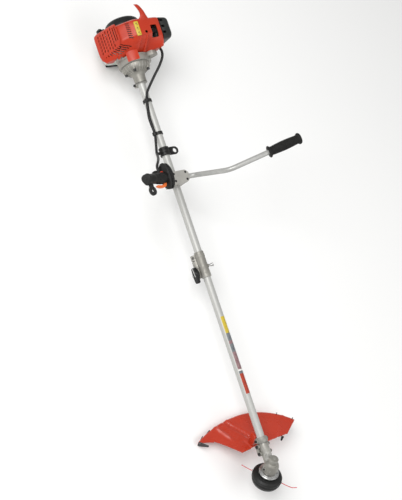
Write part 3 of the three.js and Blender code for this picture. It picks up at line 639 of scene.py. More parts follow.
def shroud_horn():
    keys = (
        (-848, 110, 22, 29, 6.5), (-855, 113.5, 23.5, 23, 6.2), (-861, 117, 24, 16.5, 5.8),
        (-867, 120.5, 23, 12.5, 5.4), (-874, 124, 20.5, 10.6, 5), (-882, 127, 16.5, 9.8, 4.7),
        (-890, 129.5, 11, 9.4, 4.4), (-897, 131.5, 5.5, 9.2, 4.1), (-902, 132, 1.5, 8.8, 3.8),
        (-905, 132, -1, 8, 3), (-906.5, 132, -2.2, 6.6, 1.6),
    )
    return loft(
        keys,
        lambda k: circle(k[3], 28, k[4] / k[3]),
        lambda k, u, v: shaft((k[0] + v * 0.5, k[2] + u, k[1] + v)),
    )


def shroud_tab():
    """The tongue of the shroud that lies over the blower housing."""
    rows = []
    for x in (-772, -760, -745, -730, -727.5):
        narrow = 2 if x > -729 else 0
        angles = [math.radians(100 + narrow + k / 10 * (40 - 2 * narrow)) for k in range(11)]
        rows.append(arc_strip(x, angles, 65.2, 62.5))
    return skin(rows)


def engine_shroud():
    outer = join(shroud_shape(0), *shroud_ribs())
    lip = [
        (95, 112), (84, 104), (76, 57), (53, 41), (32, 41), (12, 28), (10, 13), (-13, 13), (-16, 26),
        (-38, 25), (-62, 26), (-66, 6), (-80, 2), (-80, -40), (95, -40),
    ]
    front_lip = prism(lip, -792, -740, across)
    shell = cut(
        outer,
        shroud_shape(SHROUD_WALL),
        front_lip,
        block((-900, -790), (-20, 20), (-30, 24)),
        block((-900, -700), (14, 95), (-30, 36)),
        block((-855, -780), (-80, -60), (10, 56)),
        block((-850, -776), (78, 90), (44, 106), corner=6),
        block((-829, -783), (39, 65), (96, 134), corner=4),
        rod(5.5, (-805, 17, 96), (-805, 17, 136), 32),
        gather(slope_slots()),
        louvres(),
    )
    shell = join(shell, shroud_horn(), shroud_tab())
    finish(shell, "shroud_shell", MAIN, "red_plastic", RED, "engine_shroud")


def shroud_label():
    """A plain yellow panel on the crest, with three dark marks."""
    sideways = Vector((0, 44, 12)).normalized()
    normal = Vector((0, -12, 44)).normalized()
    centre = Vector((-820, -15.5, 117.4))

    def space(p):
        return shaft(centre + Vector((1, 0, 0)) * p[0] + sideways * p[1] + normal * p[2])

    panel = prism(rounded([(-27, -8), (27, -8), (27, 8), (-27, 8)], 3), -2.5, 1.4, space, 0.2)
    finish(panel, "shroud_label", MAIN, None, LABEL)
    marks = []
    for x in (-18, -1, 16):
        marks.append(prism(circle(3.2, 3, centre=(x, 0)), 1, 1.7, space))
        marks.append(prism(circle(1.3, 16, centre=(x + 5, 3)), 1, 1.7, space))
    finish(gather(marks), "shroud_label_marks", MAIN, None, DARK_STEEL)


# ---- muffler guard

RIDGE_Y = -73
MUFFLER_KEYS = ((-872, (54, -108, -27)), (-866, (68, -115, -34)), (-860, (71, -117, -36)),
        (-800, (71, -117, -36)), (-786, (60, -117, -35)), (-771, (37, -114, -33)), (-757, (17, -103, -26)))


def muffler_guard_shape(wall):
    def outline(x):
        ridge, out, low = between(MUFFLER_KEYS, x)
        inner = -60 if wall else -71.4
        return rounded([
            (inner, low + wall), (inner, ridge - wall), (RIDGE_Y, ridge - wall),
            (out + wall, low + 8), (out + 7 + wall, low + wall),
        ], 5)

    def place(x, y, z):
        return shaft((x + (wall if x < -820 else -wall * 0.6), y, z))

    stations = (-872, -869, -866, -862, -850, -835, -820, -808, -800, -793, -786, -779, -771, -764, -757)
    return loft(stations, outline, place)


def muffler_guard():
    slope = Vector((0, -44, -99)).normalized()
    normal = Vector((0, -99, 44)).normalized()
    top = Vector((0, RIDGE_Y, 71))
    slots = []
    for distance in (8, 17):
        slots.append(stadium(top + slope * distance + Vector((-833, 0, 0)), (1, 0, 0), normal, 54, 4, 18))
    lean = (Vector((1, 0, 0)) + slope * 0.35).normalized()
    for column in range(6):
        for row in range(6):
            centre = top + slope * (28 + column * 12.2) + Vector((-858 + row * 12.5 + column % 2 * 4, 0, 0))
            slots.append(stadium(centre, lean, normal, 10.5, 4.2, 18))
    shell = cut(muffler_guard_shape(0), muffler_guard_shape(2.4), gather(slots), louvres())
    finish(shell, "muffler_cover", MAIN, "red_plastic", RED, "muffler_guard")
    paint_node("muffler", SOOT)


# ---- engine block

def engine_block():
    for name, look in (("cylinder", CAST), ("piston", STEEL), ("spark_plug", CERAMIC), ("crankcase", CAST),
            ("crankshaft", STEEL), ("flywheel", CAST), ("clutch_shoes", STEEL), ("clutch_drum", STEEL),
            ("carburettor", CAST), ("choke_lever", BLACK), ("filter_element", FOAM),
            ("starter_reel", BLACK), ("upper_driveshaft", STEEL), ("lower_driveshaft", STEEL),
            ("shaft_bush", RUBBER), ("pinion_gear", STEEL), ("bevel_gear", STEEL),
            ("output_shaft", STEEL), ("head_spring", STEEL), ("line_spool", ORANGE)):
        paint_node(name, look)


def plug_boot():
    lead = [(-812, -9, 97.5), (-812, 20, 97.5), (-812, 45, 97.5), (-812, 64, 97.5)]
    cap = sweep(smooth_path(lead, 10), lambda d: 8.2 + (0.7 if d % 9 < 4.5 else 0), 28)
    cap = cut(cap, rod(4.2, (-812, 0, 80), (-812, 0, 98), 24))
    finish(cap, "plug_cap", MAIN, "rubber", RUBBER, "plug_boot")


def fan_housing():
    cup = lathe([
        (-752.5, 56), (-752.5, 61), (-751.5, 62), (-747, 62), (-746, 60.5), (-743, 60.5), (-742, 62),
        (-729, 62), (-727, 61), (-726, 59), (-726, 30), (-730, 30), (-730, 54), (-732, 56), (-752.5, 56),
    ], sides=96)
    ribs = []
    for angle in turns(14):
        ribs.append(block((-746, -726.4), (55, 61.6), (-1.6, 1.6), turned(shaft, angle)))
    ear = prism(rounded([(30, 50), (46, 67), (60, 68), (72, 58), (73, 46), (58, 20)], 4), -757, -738,
            across, 1.5)
    ear = cut(ear, rod(58, (-760, 0, 0), (-730, 0, 0), 64))
    finish(join(cup, ear, *ribs), "blower_housing", MAIN, "cast_alloy", CAST, "fan_housing")


CLUTCH_BOLTS = tuple(Vector(p).normalized() * 44 for p in ((-30, 34), (37, 42), (-42, -16)))
CLUTCH_FINS = 24


def clutch_case():
    cone = lathe([
        (-725.7, 43), (-725.7, 52), (-724.5, 53), (-718, 52.5), (-712, 51), (-707, 48), (-703, 42),
        (-698, 34), (-693, 28), (-688, 24.5), (-682, 23), (-656, 22.2), (-654.6, 21.6), (-654, 20.6),
        (-654, TUBE_BORE), (-694, TUBE_BORE), (-699, 16), (-706, 43), (-725.7, 43),
    ], sides=96)
    extras = []
    for at in CLUTCH_BOLTS:
        extras.append(rod(6.5, (-724, *at), (-702, *at), 28, bevel=1))
    fin = [(-722, 41.2), (-722, 53.8), (-712, 52.4), (-704, 45.7), (-694, 31.7), (-694, 25.2)]
    for angle in turns(CLUTCH_FINS):
        extras.append(prism(fin, -1, 1, turned(shaft, angle)))
    ear = block((-668, -654), (-10, 10), (-38, -16), corner=2, bevel=0.8)
    body = join(cone, ear, *extras)
    body = cut(
        body,
        rod(TUBE_BORE, (-700, 0, 0), (-640, 0, 0), 48),
        block((-672, -640), (-1.2, 1.2), (-50, -10)),
        lathe([(-730, 0), (-730, 42.6), (-706, 42.6), (-700, 15), (-700, 0)]),
    )
    finish(body, "clutch_cone", MAIN, "cast_alloy", CAST, "clutch_case")
    screws = []
    for at in CLUTCH_BOLTS:
        screws.append(screw((-702, *at), (1, 0, 0), 5, 8))
    screws.append(screw((-661, -9, -29), (0, -1, 0), 4.6, 7))
    screws.append(screw((-661, 9, -29), (0, 1, 0), 3.6, 2.5))
    seam = lathe([(-657, 21), (-657, 22.9), (-655.2, 22.9), (-655.2, 21), (-657, 21)], sides=64)
    finish(seam, "clutch_seam", MAIN, "steel", DARK_STEEL)
    finish_screws(screws, "clutch_screws", MAIN)


# ---- fuel and air

FLOOR_Z = -150                   # the ground, from the shaft's axis
FILLER = (34, -92)
TANK_OUTLINE = [(-58, -56), (70, -56), (78, -70), (70, -110), (58, -120), (-48, -120), (-58, -110),
        (-64, -70)]


def fuel_tank():
    centre = Vector((7, -88))

    def outline(station):
        shrink = station[1]
        return [tuple(centre + (Vector(p) - centre) * shrink) for p in rounded(TANK_OUTLINE, 10, 5)]

    stations = ((-864, 0.93), (-863, 0.965), (-860, 0.99), (-855, 1), (-828, 1), (-827, 0.985),
            (-825, 0.985), (-824, 1), (-797, 1), (-792, 0.99), (-789, 0.965), (-788, 0.93))
    body = loft(stations, outline, lambda s, y, z: shaft((s[0], y, z)))
    body = join(body, rod(17, (-794, *FILLER), (-764, *FILLER), 40, bevel=0.6))
    inside = loft(((-861, 0.9), (-791, 0.9)), outline, lambda s, y, z: shaft((s[0], y, z)))
    body = cut(body, inside, rod(13, (-800, *FILLER), (-750, *FILLER), 40))
    finish(body, "fuel_tank_shell", MAIN, "tank_plastic", TANK, "fuel_tank")


def fuel_cap():
    cap = lathe([(-775, 0), (-775, 12.4), (-763.6, 12.4), (-763.6, 19), (-762.6, 20), (-751, 20),
            (-749.4, 18.6), (-749, 16), (-751, 14), (-751, 0)], sides=64, centre=FILLER)
    flutes = []
    for at in circle(21, 18, centre=FILLER):
        flutes.append(rod(2, (-765, *at), (-747, *at), 12))
    cap = cut(cap, gather(flutes))
    cap = join(cap, block((-752, -749.2), (20, 48), (-94.5, -89.5), corner=1))
    finish(cap, "fuel_cap_knob", "cap", "black_plastic", BLACK, "fuel_cap")


def tank_stand():
    top = FLOOR_Z + 5
    pieces = [
        block((-866, -856), (-32, 32), (FLOOR_Z, top), corner=2, bevel=0.6),
        rod(3.5, (-796, -26, top), (-796, 26, top), 20),
    ]
    for y in (-26, 26):
        pieces.append(block((-866, -794), (y - 6, y + 6), (FLOOR_Z, top), corner=3, bevel=0.8))
        for foot, hip in ((-800, -794), (-860, -856)):
            pieces.append(rod(3.5, (foot, y, FLOOR_Z + 3), (hip, y * 1.2, -121.6), 20))
    finish(join(*pieces), "tank_feet", MAIN, "black_plastic", BLACK, "tank_stand")


def primer():
    profile = []
    for i in range(9):
        angle = i / 8 * math.pi / 2
        profile.append((-7.6 * math.sin(angle), 8 * math.cos(angle)))
    profile = [(0, 0)] + profile

    def space(p):
        return shaft((-822 + p[2], 64 + p[1], 47.6 + p[0]))

    finish(lathe(profile, space, 32), "primer_dome", "primer", "tank_plastic", TANK, "primer_bulb")


def air_filter_cover():
    def outline(grow):
        return rounded([
            (-860 - grow, 108 + grow), (-855 - grow, 117 + grow), (-784 + grow, 117 + grow),
            (-776 + grow, 106 + grow), (-778 + grow, 44 - grow), (-860 - grow, 44 - grow),
        ], 9, 5)

    def place(s, x, z):
        return shaft((x, s[0], z))

    outer = loft(((86.4, 0), (90, 0), (112, -1), (119, -2.5), (123.5, -5), (126, -8), (127, -12)),
            lambda s: outline(s[1]), place)
    inner = loft(((80, -4), (123, -9)), lambda s: outline(s[1]), place)
    notches = [block((x, x + 10), (80, 101), (108, 130), corner=4) for x in (-850, -826, -803)]
    ribs = [block((x, x + 2.4), (123.6, 130), (56, 100)) for x in (-842, -830, -818, -806)]
    body = cut(outer, inner, *notches, *ribs)
    knob = lathe([(0, 0), (0, 9), (3, 9.6), (5, 9), (6, 6), (6, 0)],
            lambda p: shaft((-822 + p[1], 121 + p[0], 80 + p[2])))
    finish(join(body, knob), "air_box_lid", MAIN, "black_plastic", COVER_BLACK, "air_filter_cover")


# ---- starter

PULL_X, PULL_Z = -888, -27       # the starter's rope


def rope_space(p):
    """Millimetres from the shaft's axis along the starter's rope: y along it."""
    return shaft((PULL_X + p[0], p[1], PULL_Z + p[2]))


def starter():
    bowl = lathe([
        (-868, 62), (-868, 67.4), (-869, 68), (-877, 68), (-881, 67), (-890, 65), (-896, 62), (-901, 56),
        (-904, 48), (-905, 38), (-905, 22), (-903.6, 20), (-903.6, 12), (-905, 10), (-905, 0), (-901, 0),
        (-901, 46), (-893, 58), (-880, 62), (-868, 62),
    ], sides=96)
    slots = []
    for angle in turns(20, math.pi / 20):
        radial = Vector((0, *polar(1, angle)))
        slots.append(stadium(Vector((-903, 0, 0)) + radial * 33, radial, (1, 0, 0), 20, 4, 14))
    bowl = cut(bowl, gather(slots), rod(3, (0, -80, 0), (0, -30, 0), 24, rope_space))
    eyelet = lathe([(-64, 3.1), (-64, 6), (-66.5, 7), (-69, 6), (-69, 3.1), (-64, 3.1)],
            lambda p: rope_space((p[1], p[0], p[2])), 32)
    finish(join(bowl, eyelet), "starter_bowl", MAIN, "black_plastic", BLACK, "recoil_starter_cover")

    bar = prism(rounded([(-12, -92), (12, -92), (12, -84), (5, -74), (-5, -74), (-12, -84)], 4),
            -4, 4, lambda p: rope_space((p[2], p[1], p[0])), 1.2)
    pull = join(bar, rod(5, (0, -80, 0), (0, -66.5, 0), 28, rope_space, bevel=0.8, end_radius=4))
    pull = cut(pull, rod(2.3, (0, -95, 0), (0, -60, 0), 20, rope_space))
    finish(pull, "starter_pull_grip", "pull", "black_plastic", BLACK, "starter_handle")
    run = [(0, -88 + 0.8 * i, 0) for i in range(103)]
    rope = sweep(run, lambda d: 1.75 + 0.15 * math.sin(d * 3), 14, rope_space)
    finish(rope, "starter_cord_run", "pull", "starter_cord", CORD, "starter_rope")


# ---- shaft

def tubes():
    def tube(start, end):
        return lathe([
            (start, 12.4), (start, 13.4), (start + 0.6, TUBE_RADIUS), (end - 0.6, TUBE_RADIUS), (end, 13.4),
            (end, 12.4), (start, 12.4),
        ], sides=72)

    finish(tube(TUBE_START, 50), "drive_tube_upper", MAIN, "tube_alloy", TUBE, "upper_tube")
    finish(tube(51, 754), "drive_tube_lower", LOWER, "tube_alloy", TUBE, "lower_tube")


def tube_bands():
    """Plain coloured bands along the lower tube, with no lettering."""
    bands = (
        (250, 312, LABEL), (312, 340, GREY_BAND), (340, 352, MAUVE_BAND), (352, 382, GREY_BAND),
        (382, 446, MAUVE_BAND), (446, 452, WHITE_BAND), (452, 462, GREY_BAND), (462, 535, RED_BAND),
    )
    angles = [math.radians(22 + step / 16 * 100) for step in range(17)]
    for i, (start, end, look) in enumerate(bands):
        band = skin([arc_strip(x, angles, TUBE_RADIUS + 0.12, TUBE_RADIUS - 0.05) for x in (start, end)])
        finish(band, f"tube_band_{i + 1}", LOWER, None, look)
    marks = []
    for k in range(26):
        x = 256 + 10.6 * k
        angle = math.radians(76 if x > 440 else (48, 70, 60, 82)[k % 4])
        normal = Vector((0, *polar(1, angle)))
        at = normal * 14.15 + Vector((x, 0, 0))
        marks.append(stadium(at, (1, 0, 0), normal, 3 + 2.4 * (k % 3), 1.7, 0.3))
    finish(gather(marks), "tube_band_marks", LOWER, None, DARK_STEEL)


KNOB_X, KNOB_Z = 78, -15
PIN_X = 60
PIN_RADIUS = 4


def shaft_coupler():
    barrel = lathe([(4, TUBE_BORE), (4, 16.8), (4.8, 17.5), (14, 17.5), (15, 18.2), (24, 18.2), (25, 17.5),
            (84, 17.5), (85, 18.2), (99, 18.2), (100, 17.2), (100, TUBE_BORE), (4, TUBE_BORE)], sides=72)
    cheek = prism(rounded([(0, -17), (0, -4), (-14, -4), (-25, -12), (-25, -26), (-14, -30), (-4, -27)], 4),
            10, 61, across, 1.5)
    saddle = block((58, 96), (-22, -8), (-24, -6), corner=2, bevel=1)
    boss = rod(7, (PIN_X, 12, 0), (PIN_X, 22, 0), 32, bevel=0.8)
    ridge = block((8, 96), (13, 19.5), (-2.4, 2.4), corner=1)
    body = join(barrel, cheek, saddle, boss, ridge)
    grooves = [block((-2, 110), (18.2, 22), (-0.7, 0.7)), block((30, 33), (-30, -20), (-40, 0))]
    body = cut(
        body,
        rod(TUBE_BORE, (-10, 0, 0), (110, 0, 0), 56),
        rod(PIN_RADIUS + GAP, (PIN_X, 8, 0), (PIN_X, 30, 0), 28),
        rod(PIN_RADIUS + GAP, (KNOB_X, -8, KNOB_Z), (KNOB_X, -30, KNOB_Z), 28),
        *grooves,
    )
    finish(body, "coupler_body", MAIN, "cast_alloy", CAST, "coupler")
    finish(screw((20, -22, -13), (0, -0.5, 0.85), 4.4, 4.5), "coupler_screw", MAIN, "steel", DARK_STEEL)

    pin = lathe([(14.6, 0), (14.6, 3.4), (15.4, 4), (29, 4), (31, 5), (33, 6.4), (38, 5), (41, 7.4),
            (42, 7), (42, 0)], lambda p: shaft((PIN_X + p[1], p[0], p[2])), 36)
    finish(pin, "locking_pin", "lock_pin", "steel", STEEL, "coupler_pin")


def coupler_knob():
    def space(p):
        return shaft((KNOB_X + p[0], p[1], KNOB_Z + p[2]))

    cap = lathe([(-15, 0), (-15, 3.6), (-15.4, 4), (-23, 4), (-23, 14.5), (-24, 16), (-27, 16), (-35, 14.5),
            (-37.5, 12.5), (-38, 10), (-38, 0)], lambda p: space((p[1], p[0], p[2])), 56)
    wing = prism(rounded([(-24, -9), (-24, 9), (2, 12.5), (30, 9), (34, 4), (34, -6), (28, -10),
            (2, -12.5)], 5), -38, -26, lambda p: space((p[0], p[2], p[1])), 1.6)
    body = join(cap, wing)
    body = cut(body, stadium((-6, -38, 2), (1, 0, 0.12), (0, 1, 0), 34, 5.6, 3, space))
    finish(body, "knob_body", "knob", "black_plastic", BLACK, "coupler_knob")
    strip = [stadium((-6, -37.4, 2), (1, 0, 0.12), (0, 1, 0), 32, 4.6, 1.6, space),
            rod(3.4, (4, -37, -9), (4, -41, -9), 28, space, bevel=0.6)]
    finish(gather(strip), "knob_insert", "knob", "steel", STEEL)


RING_X = -384                    # the harness ring
EYE_Y = 44
EYE_RADIUS = 8.5


def harness_ring():
    half = [(16, TUBE_BORE), (16, 18), (15, 19), (9, 19), (8, 17.6), (4, 17.6), (3, 19)]
    profile = [(RING_X - x, r) for x, r in half] + [(RING_X + x, r) for x, r in reversed(half)]
    band = lathe(profile + profile[:1], sides=72)
    outline = [(14, -15)]
    for i in range(25):
        angle = -math.pi / 2 + i / 24 * math.pi
        outline.append((EYE_Y + 15 * math.cos(angle), 15 * math.sin(angle)))
    outline.append((14, 15))

    def space(p):
        return shaft((RING_X - p[1], p[0], p[2]))

    plate = prism(outline, -2.5, 2.5, space, 0.8)
    collar = lathe([(-3.4, EYE_RADIUS), (-3.4, 11.6), (-2.6, 12.6), (2.6, 12.6), (3.4, 11.6),
            (3.4, EYE_RADIUS), (-3.4, EYE_RADIUS)], lambda p: space((EYE_Y + p[1], p[2], p[0])), 48)
    lug = block((RING_X - 2, RING_X + 8), (-30, -15), (-4, 5), corner=2, bevel=0.8)
    body = join(band, plate, collar, lug)
    eye = rod(EYE_RADIUS, (RING_X, EYE_Y, -9), (RING_X, EYE_Y, 9), 48)
    body = cut(body, rod(TUBE_BORE, (RING_X - 30, 0, 0), (RING_X + 30, 0, 0), 56), eye)
    finish(body, "harness_eye", MAIN, "black_plastic", BLACK, "harness_ring")


def cable_straps():
    for side_name, x, y, z in (("rear", -584, -10.6, 16.6), ("front", -455, -18.8, 6.4)):
        loop = rod(16.8, (x - 6, 0, 0), (x + 6, 0, 0), 56, bevel=0.6)
        saddle = rod(8.8, (x - 6, y, z), (x + 6, y, z), 36, bevel=0.6)
        at = Vector((y, z)).normalized() * 23.52
        latch = block((x - 3.4, x + 3.4), (at.x - 4.5, at.x + 4.5), (at.y - 2.6, at.y + 2.6), shaft, 1, 0.5)
        outer = join(loop, saddle, latch)
        groove = ((-0.5, 15.7), (-0.5, 18), (0.5, 18), (0.5, 15.7), (-0.5, 15.7))
        grooves = [lathe([(x + d + u, r) for u, r in groove]) for d in (-2, 2)]
        outer = cut(outer, rod(TUBE_BORE, (x - 9, 0, 0), (x + 9, 0, 0), 56),
                rod(6.4, (x - 9, y, z), (x + 9, y, z), 32), *grooves)
        finish(outer, f"strap_{side_name}", MAIN, "black_plastic", BLACK, f"cable_strap_{side_name}")


# ---- handlebar

BAR_X, BAR_Z = -270, 32
LEFT_BEND = (-228, 122, 175)
LEFT_END = (-262, 373, 298)
BAR_LENGTH_RIGHT = 128
SLOPE = Vector((0, -0.95, 0.312)).normalized()


def handlebar():
    right_end = RIGHT_BEND + SLOPE * BAR_LENGTH_RIGHT
    corners = [right_end, RIGHT_BEND, (BAR_X, -64, BAR_Z), (BAR_X, 64, BAR_Z), LEFT_BEND, LEFT_END]
    bar = sweep(bent_path(corners, 24, 12), BAR_RADIUS, 40)
    finish(soften(bar, 0.8, 2, 60), "bar_tube", MAIN, "tube_alloy", BAR_TUBE, "handlebar")


def handlebar_clamp():
    def outline(deep):
        return rounded([(-34, -deep), (26, -deep), (38, -deep + 12), (38, deep - 12), (26, deep),
                (-34, deep)], 4, 4)

    def space(p):
        return shaft((BAR_X - p[1], p[0], p[2]))

    def bar_bore():
        return rod(BAR_RADIUS + GAP, (BAR_X, -60, BAR_Z), (BAR_X, 60, BAR_Z), 48)

    screw_places = [(y, x) for y in (-25, 25) for x in (-13.5, 13.5)]
    wells = [rod(4.6, space((y, x, 47.2)), space((y, x, 54)), 28, Vector) for y, x in screw_places]
    cap = cut(prism(outline(23), BAR_Z + 0.8, 50, space, 1.6), bar_bore(), gather(wells))
    finish(cap, "clamp_top_half", MAIN, "cast_alloy", CLAMP_PAINT, "handlebar_cap")
    base = prism(outline(22), -19, BAR_Z - 0.8, space, 1.6)
    pockets = [block((BAR_X - 17, BAR_X + 17), (y, y + 12), (2, 22), corner=2) for y in (30, -42)]
    base = cut(base, bar_bore(), rod(TUBE_BORE, (BAR_X - 60, 0, 0), (BAR_X + 60, 0, 0), 56),
            block((BAR_X - 40, BAR_X + 40), (-1.2, 1.2), (-30, -10)), *pockets)
    finish(base, "clamp_saddle", MAIN, "cast_alloy", CLAMP_PAINT, "handlebar_base")
    screws = [screw((BAR_X - x, y, 47.4), (0, 0, 1), 4.3, 2.4) for y, x in screw_places]
    finish_screws(screws, "clamp_screws", MAIN)


def left_grip():
    end, bend = Vector(LEFT_END), Vector(LEFT_BEND)
    length = 128
    along = (end - bend).normalized()
    start = end - along * (length - 2)
    first, second = axes_towards(along)

    def space(p):
        return shaft(start + along * p[0] + first * p[1] + second * p[2])

    profile = [(0, 10), (0, 20), (0.8, 21.2), (2.4, 22), (4.6, 21.8), (6.5, 20.6), (8, 18), (10, 16.6)]
    for i in range(31):
        x = 13 + i * 3.2
        swell = 16.2 + 2.2 * math.sin((x - 13) / 96 * math.pi)
        profile += [(x, swell), (x + 0.5, swell - 0.55), (x + 1.3, swell - 0.55), (x + 1.8, swell)]
    profile += [(112, 16.6), (114.5, 17.4), (116.5, 19.8), (118.5, 20.9), (121.5, 21), (124, 20.4),
            (126.6, 18.6), (length, 16), (length, 10), (0, 10)]
    body = lathe(profile, space, 64)
    finish(body, "grip_left", MAIN, "rubber", RUBBER, "left_grip")


# ---- throttle

EYE_OUT, EYE_FINGERS = 86, 42    # the eye below the throttle
THROTTLE_EYE_RADIUS = 6.5


def throttle():
    def place(s, u, v):
        return grip((s[0], u, v))

    def lobed(s):
        high, wide, lobe = s[1:]
        made = []
        for angle in turns(60):
            swell = 1 + lobe * math.cos(3 * angle)
            made.append((high * swell * math.cos(angle), wide * swell * math.sin(angle)))
        return made

    sections = ((0, 17, 17, 0), (8, 18.5, 17.5, 0), (20, 20.5, 18, 0), (32, 21, 18, 0), (46, 19.5, 17.6, 0),
            (58, 18, 17, 0), (62, 17.2, 16.4, 0), (64, 18.2, 17.4, 0), (74, 17.8, 17, 0.01),
            (84, 17.6, 16.8, 0.03), (90, 18.4, 17.6, 0.07), (95, 19.6, 18.8, 0.1), (99, 19.8, 19, 0.1),
            (101, 19.2, 18.4, 0.1), (102, 17.8, 17.2, 0.09))
    body = loft(sections, lobed, place)
    layers = ((-19, 43, 20.5), (-18.4, 45, 22.4), (-17, 46, 23), (-12, 46, 23), (-10.2, 45, 22),
            (-9, 40, 19), (-8.4, 38, 18.4), (-6.6, 38, 18.4), (-6.2, 42, 20.4), (-5, 46, 22.6),
            (-3.6, 47, 23.5), (0, 47, 23.4), (2.6, 46, 22.8), (3.8, 44, 21), (4.4, 41, 18.6), (5.4, 24, 18))
    flange = loft(layers, lambda s: circle(s[1], 48, s[2] / s[1], (-6, 0)), place)
    eye = lathe([(-4, THROTTLE_EYE_RADIUS), (-4, 14.4), (-3, 16), (3, 16), (4, 14.4),
            (4, THROTTLE_EYE_RADIUS), (-4, THROTTLE_EYE_RADIUS)],
            lambda p: grip((EYE_OUT + p[1], EYE_FINGERS + p[2], p[0])), 48)
    stem = block((78, 94), (12, 33), (-4, 4), grip, 2, 0.6)
    housing = join(body, flange, eye, stem)
    scallops = []
    for angle in turns(3, math.pi / 3):
        at = polar(23, angle)
        scallops.append(rod(6.5, (91, *at), (110, *at), 28, grip))
    housing = cut(
        housing,
        rod(10.2, (-20, 0, 0), (99, 0, 0), 48, grip),
        rod(14, (-30, 0, 0), (-7, 0, 0), 48, grip),
        block((6, 64), (13, 40), (-5, 5), grip, 1),
        block((30, 60), (-40, -13.5), (-5, 5), grip, 1),
        block((8, 24), (-40, -13.5), (-4, 4), grip, 1),
        rod(THROTTLE_EYE_RADIUS, (EYE_OUT, EYE_FINGERS, -9), (EYE_OUT, EYE_FINGERS, 9), 40, grip),
        *[block((66 + 3.4 * i, 67.4 + 3.4 * i), (-30, -15.6), (-11, 11), grip) for i in range(5)],
        *scallops,
    )
    finish(housing, "throttle_body", MAIN, "black_plastic", BLACK, "throttle_housing")


def throttle_collar():
    profile = ((0, 13), (-1.6, 13), (-2.4, 14), (-2.4, 16.4), (-1.6, 17.4), (0.8, 17.4), (1.6, 15), (0, 13))
    ring = lathe([(x - 20.4, r) for x, r in profile], grip, 48)
    finish(ring, "throttle_collar", MAIN, "red_plastic", RED)
    screws = [screw((44, y, 16.8), (0, 0, 1), 2.6, 1.6, grip) for y in (-9, 10)]
    screws.append(screw((101.4, 0, 0), (1, 0, 0), 3, 1.6, grip))
    finish_screws(screws, "throttle_screws", MAIN)


def trigger():
    lever = [(9, 14.5), (10, 23), (15, 29.5), (22, 33), (33, 35), (44, 35), (53, 33), (61, 29), (60, 25.5),
            (57, 24.6), (40, 26), (30, 25), (24, 22), (19, 18), (16, 14.5)]
    blade = prism(rounded(lever, 1.5, 2), -4.3, 4.3, grip, 1.3)
    finish(blade, "trigger_lever", "trigger", "orange_plastic", ORANGE, "throttle_trigger")


def lockout():
    outline = [(57, -14.5), (57.6, -20), (56, -24), (48, -27), (40, -26.6), (32, -23), (31.4, -20.4),
            (33, -19), (42, -18), (50, -14.5)]
    lever = prism(rounded(outline, 1.5, 2), -4.3, 4.3, grip, 1.2)
    finish(lever, "lockout_lever", "lockout", "black_plastic", BLACK, "throttle_lockout")


def stop_slider():
    slider = block((9, 17), (-24, -14), (-3.4, 3.4), grip, 1.6, 0.8)
    ridges = [block((10.6 + 2 * i, 11.4 + 2 * i), (-26, -23.2), (-4, 4), grip) for i in range(3)]
    slider = cut(slider, *ridges)
    finish(slider, "stop_slider", "switch", "red_plastic", RED, "stop_switch")


CABLE_ROUTE = [
    (-788, 67, 61), (-774, 75, 63), (-757, 84.6, 65), (-742, 86, 68), (-720, 79, 68), (-694, 62, 60),
    (-664, 38, 44), (-636, 16, 30), (-610, -3, 22), (-584, -10.6, 16.6), (-550, -16.4, 12),
    (-520, -20, 8), (-486, -19.5, 7), (-455, -18.8, 6.4), (-425, -26, 7), (-384, -38, 8),
    (-372, -50, 26), (-350, -78, 70), (-328, -110, 118), (-306, -142, 160), (-287, -161, 177),
    (-261, -164.8, 179.6),
]


def throttle_cable():
    path = smooth_path(CABLE_ROUTE, 24)

    def radius(distance):
        wavy = 235 < distance < 352
        return 5.4 + 0.45 * math.sin(distance * math.tau / 3.2) if wavy else 4.8
    finish(sweep(path, radius, 20), "cable_run", MAIN, "rubber", CABLE, "throttle_cable", angle=60)


# ---- gearbox and head

def along_shaft(distance, y=0.0, side_step=0.0):
    """A point on the shaft's axis, in the head's space, from where the two axes meet."""
    tilt = math.acos(max(-1, min(1, HEAD_DOWN.x)))
    return (distance * math.cos(tilt) - side_step * math.sin(tilt), y,
            distance * math.sin(tilt) + side_step * math.cos(tilt))


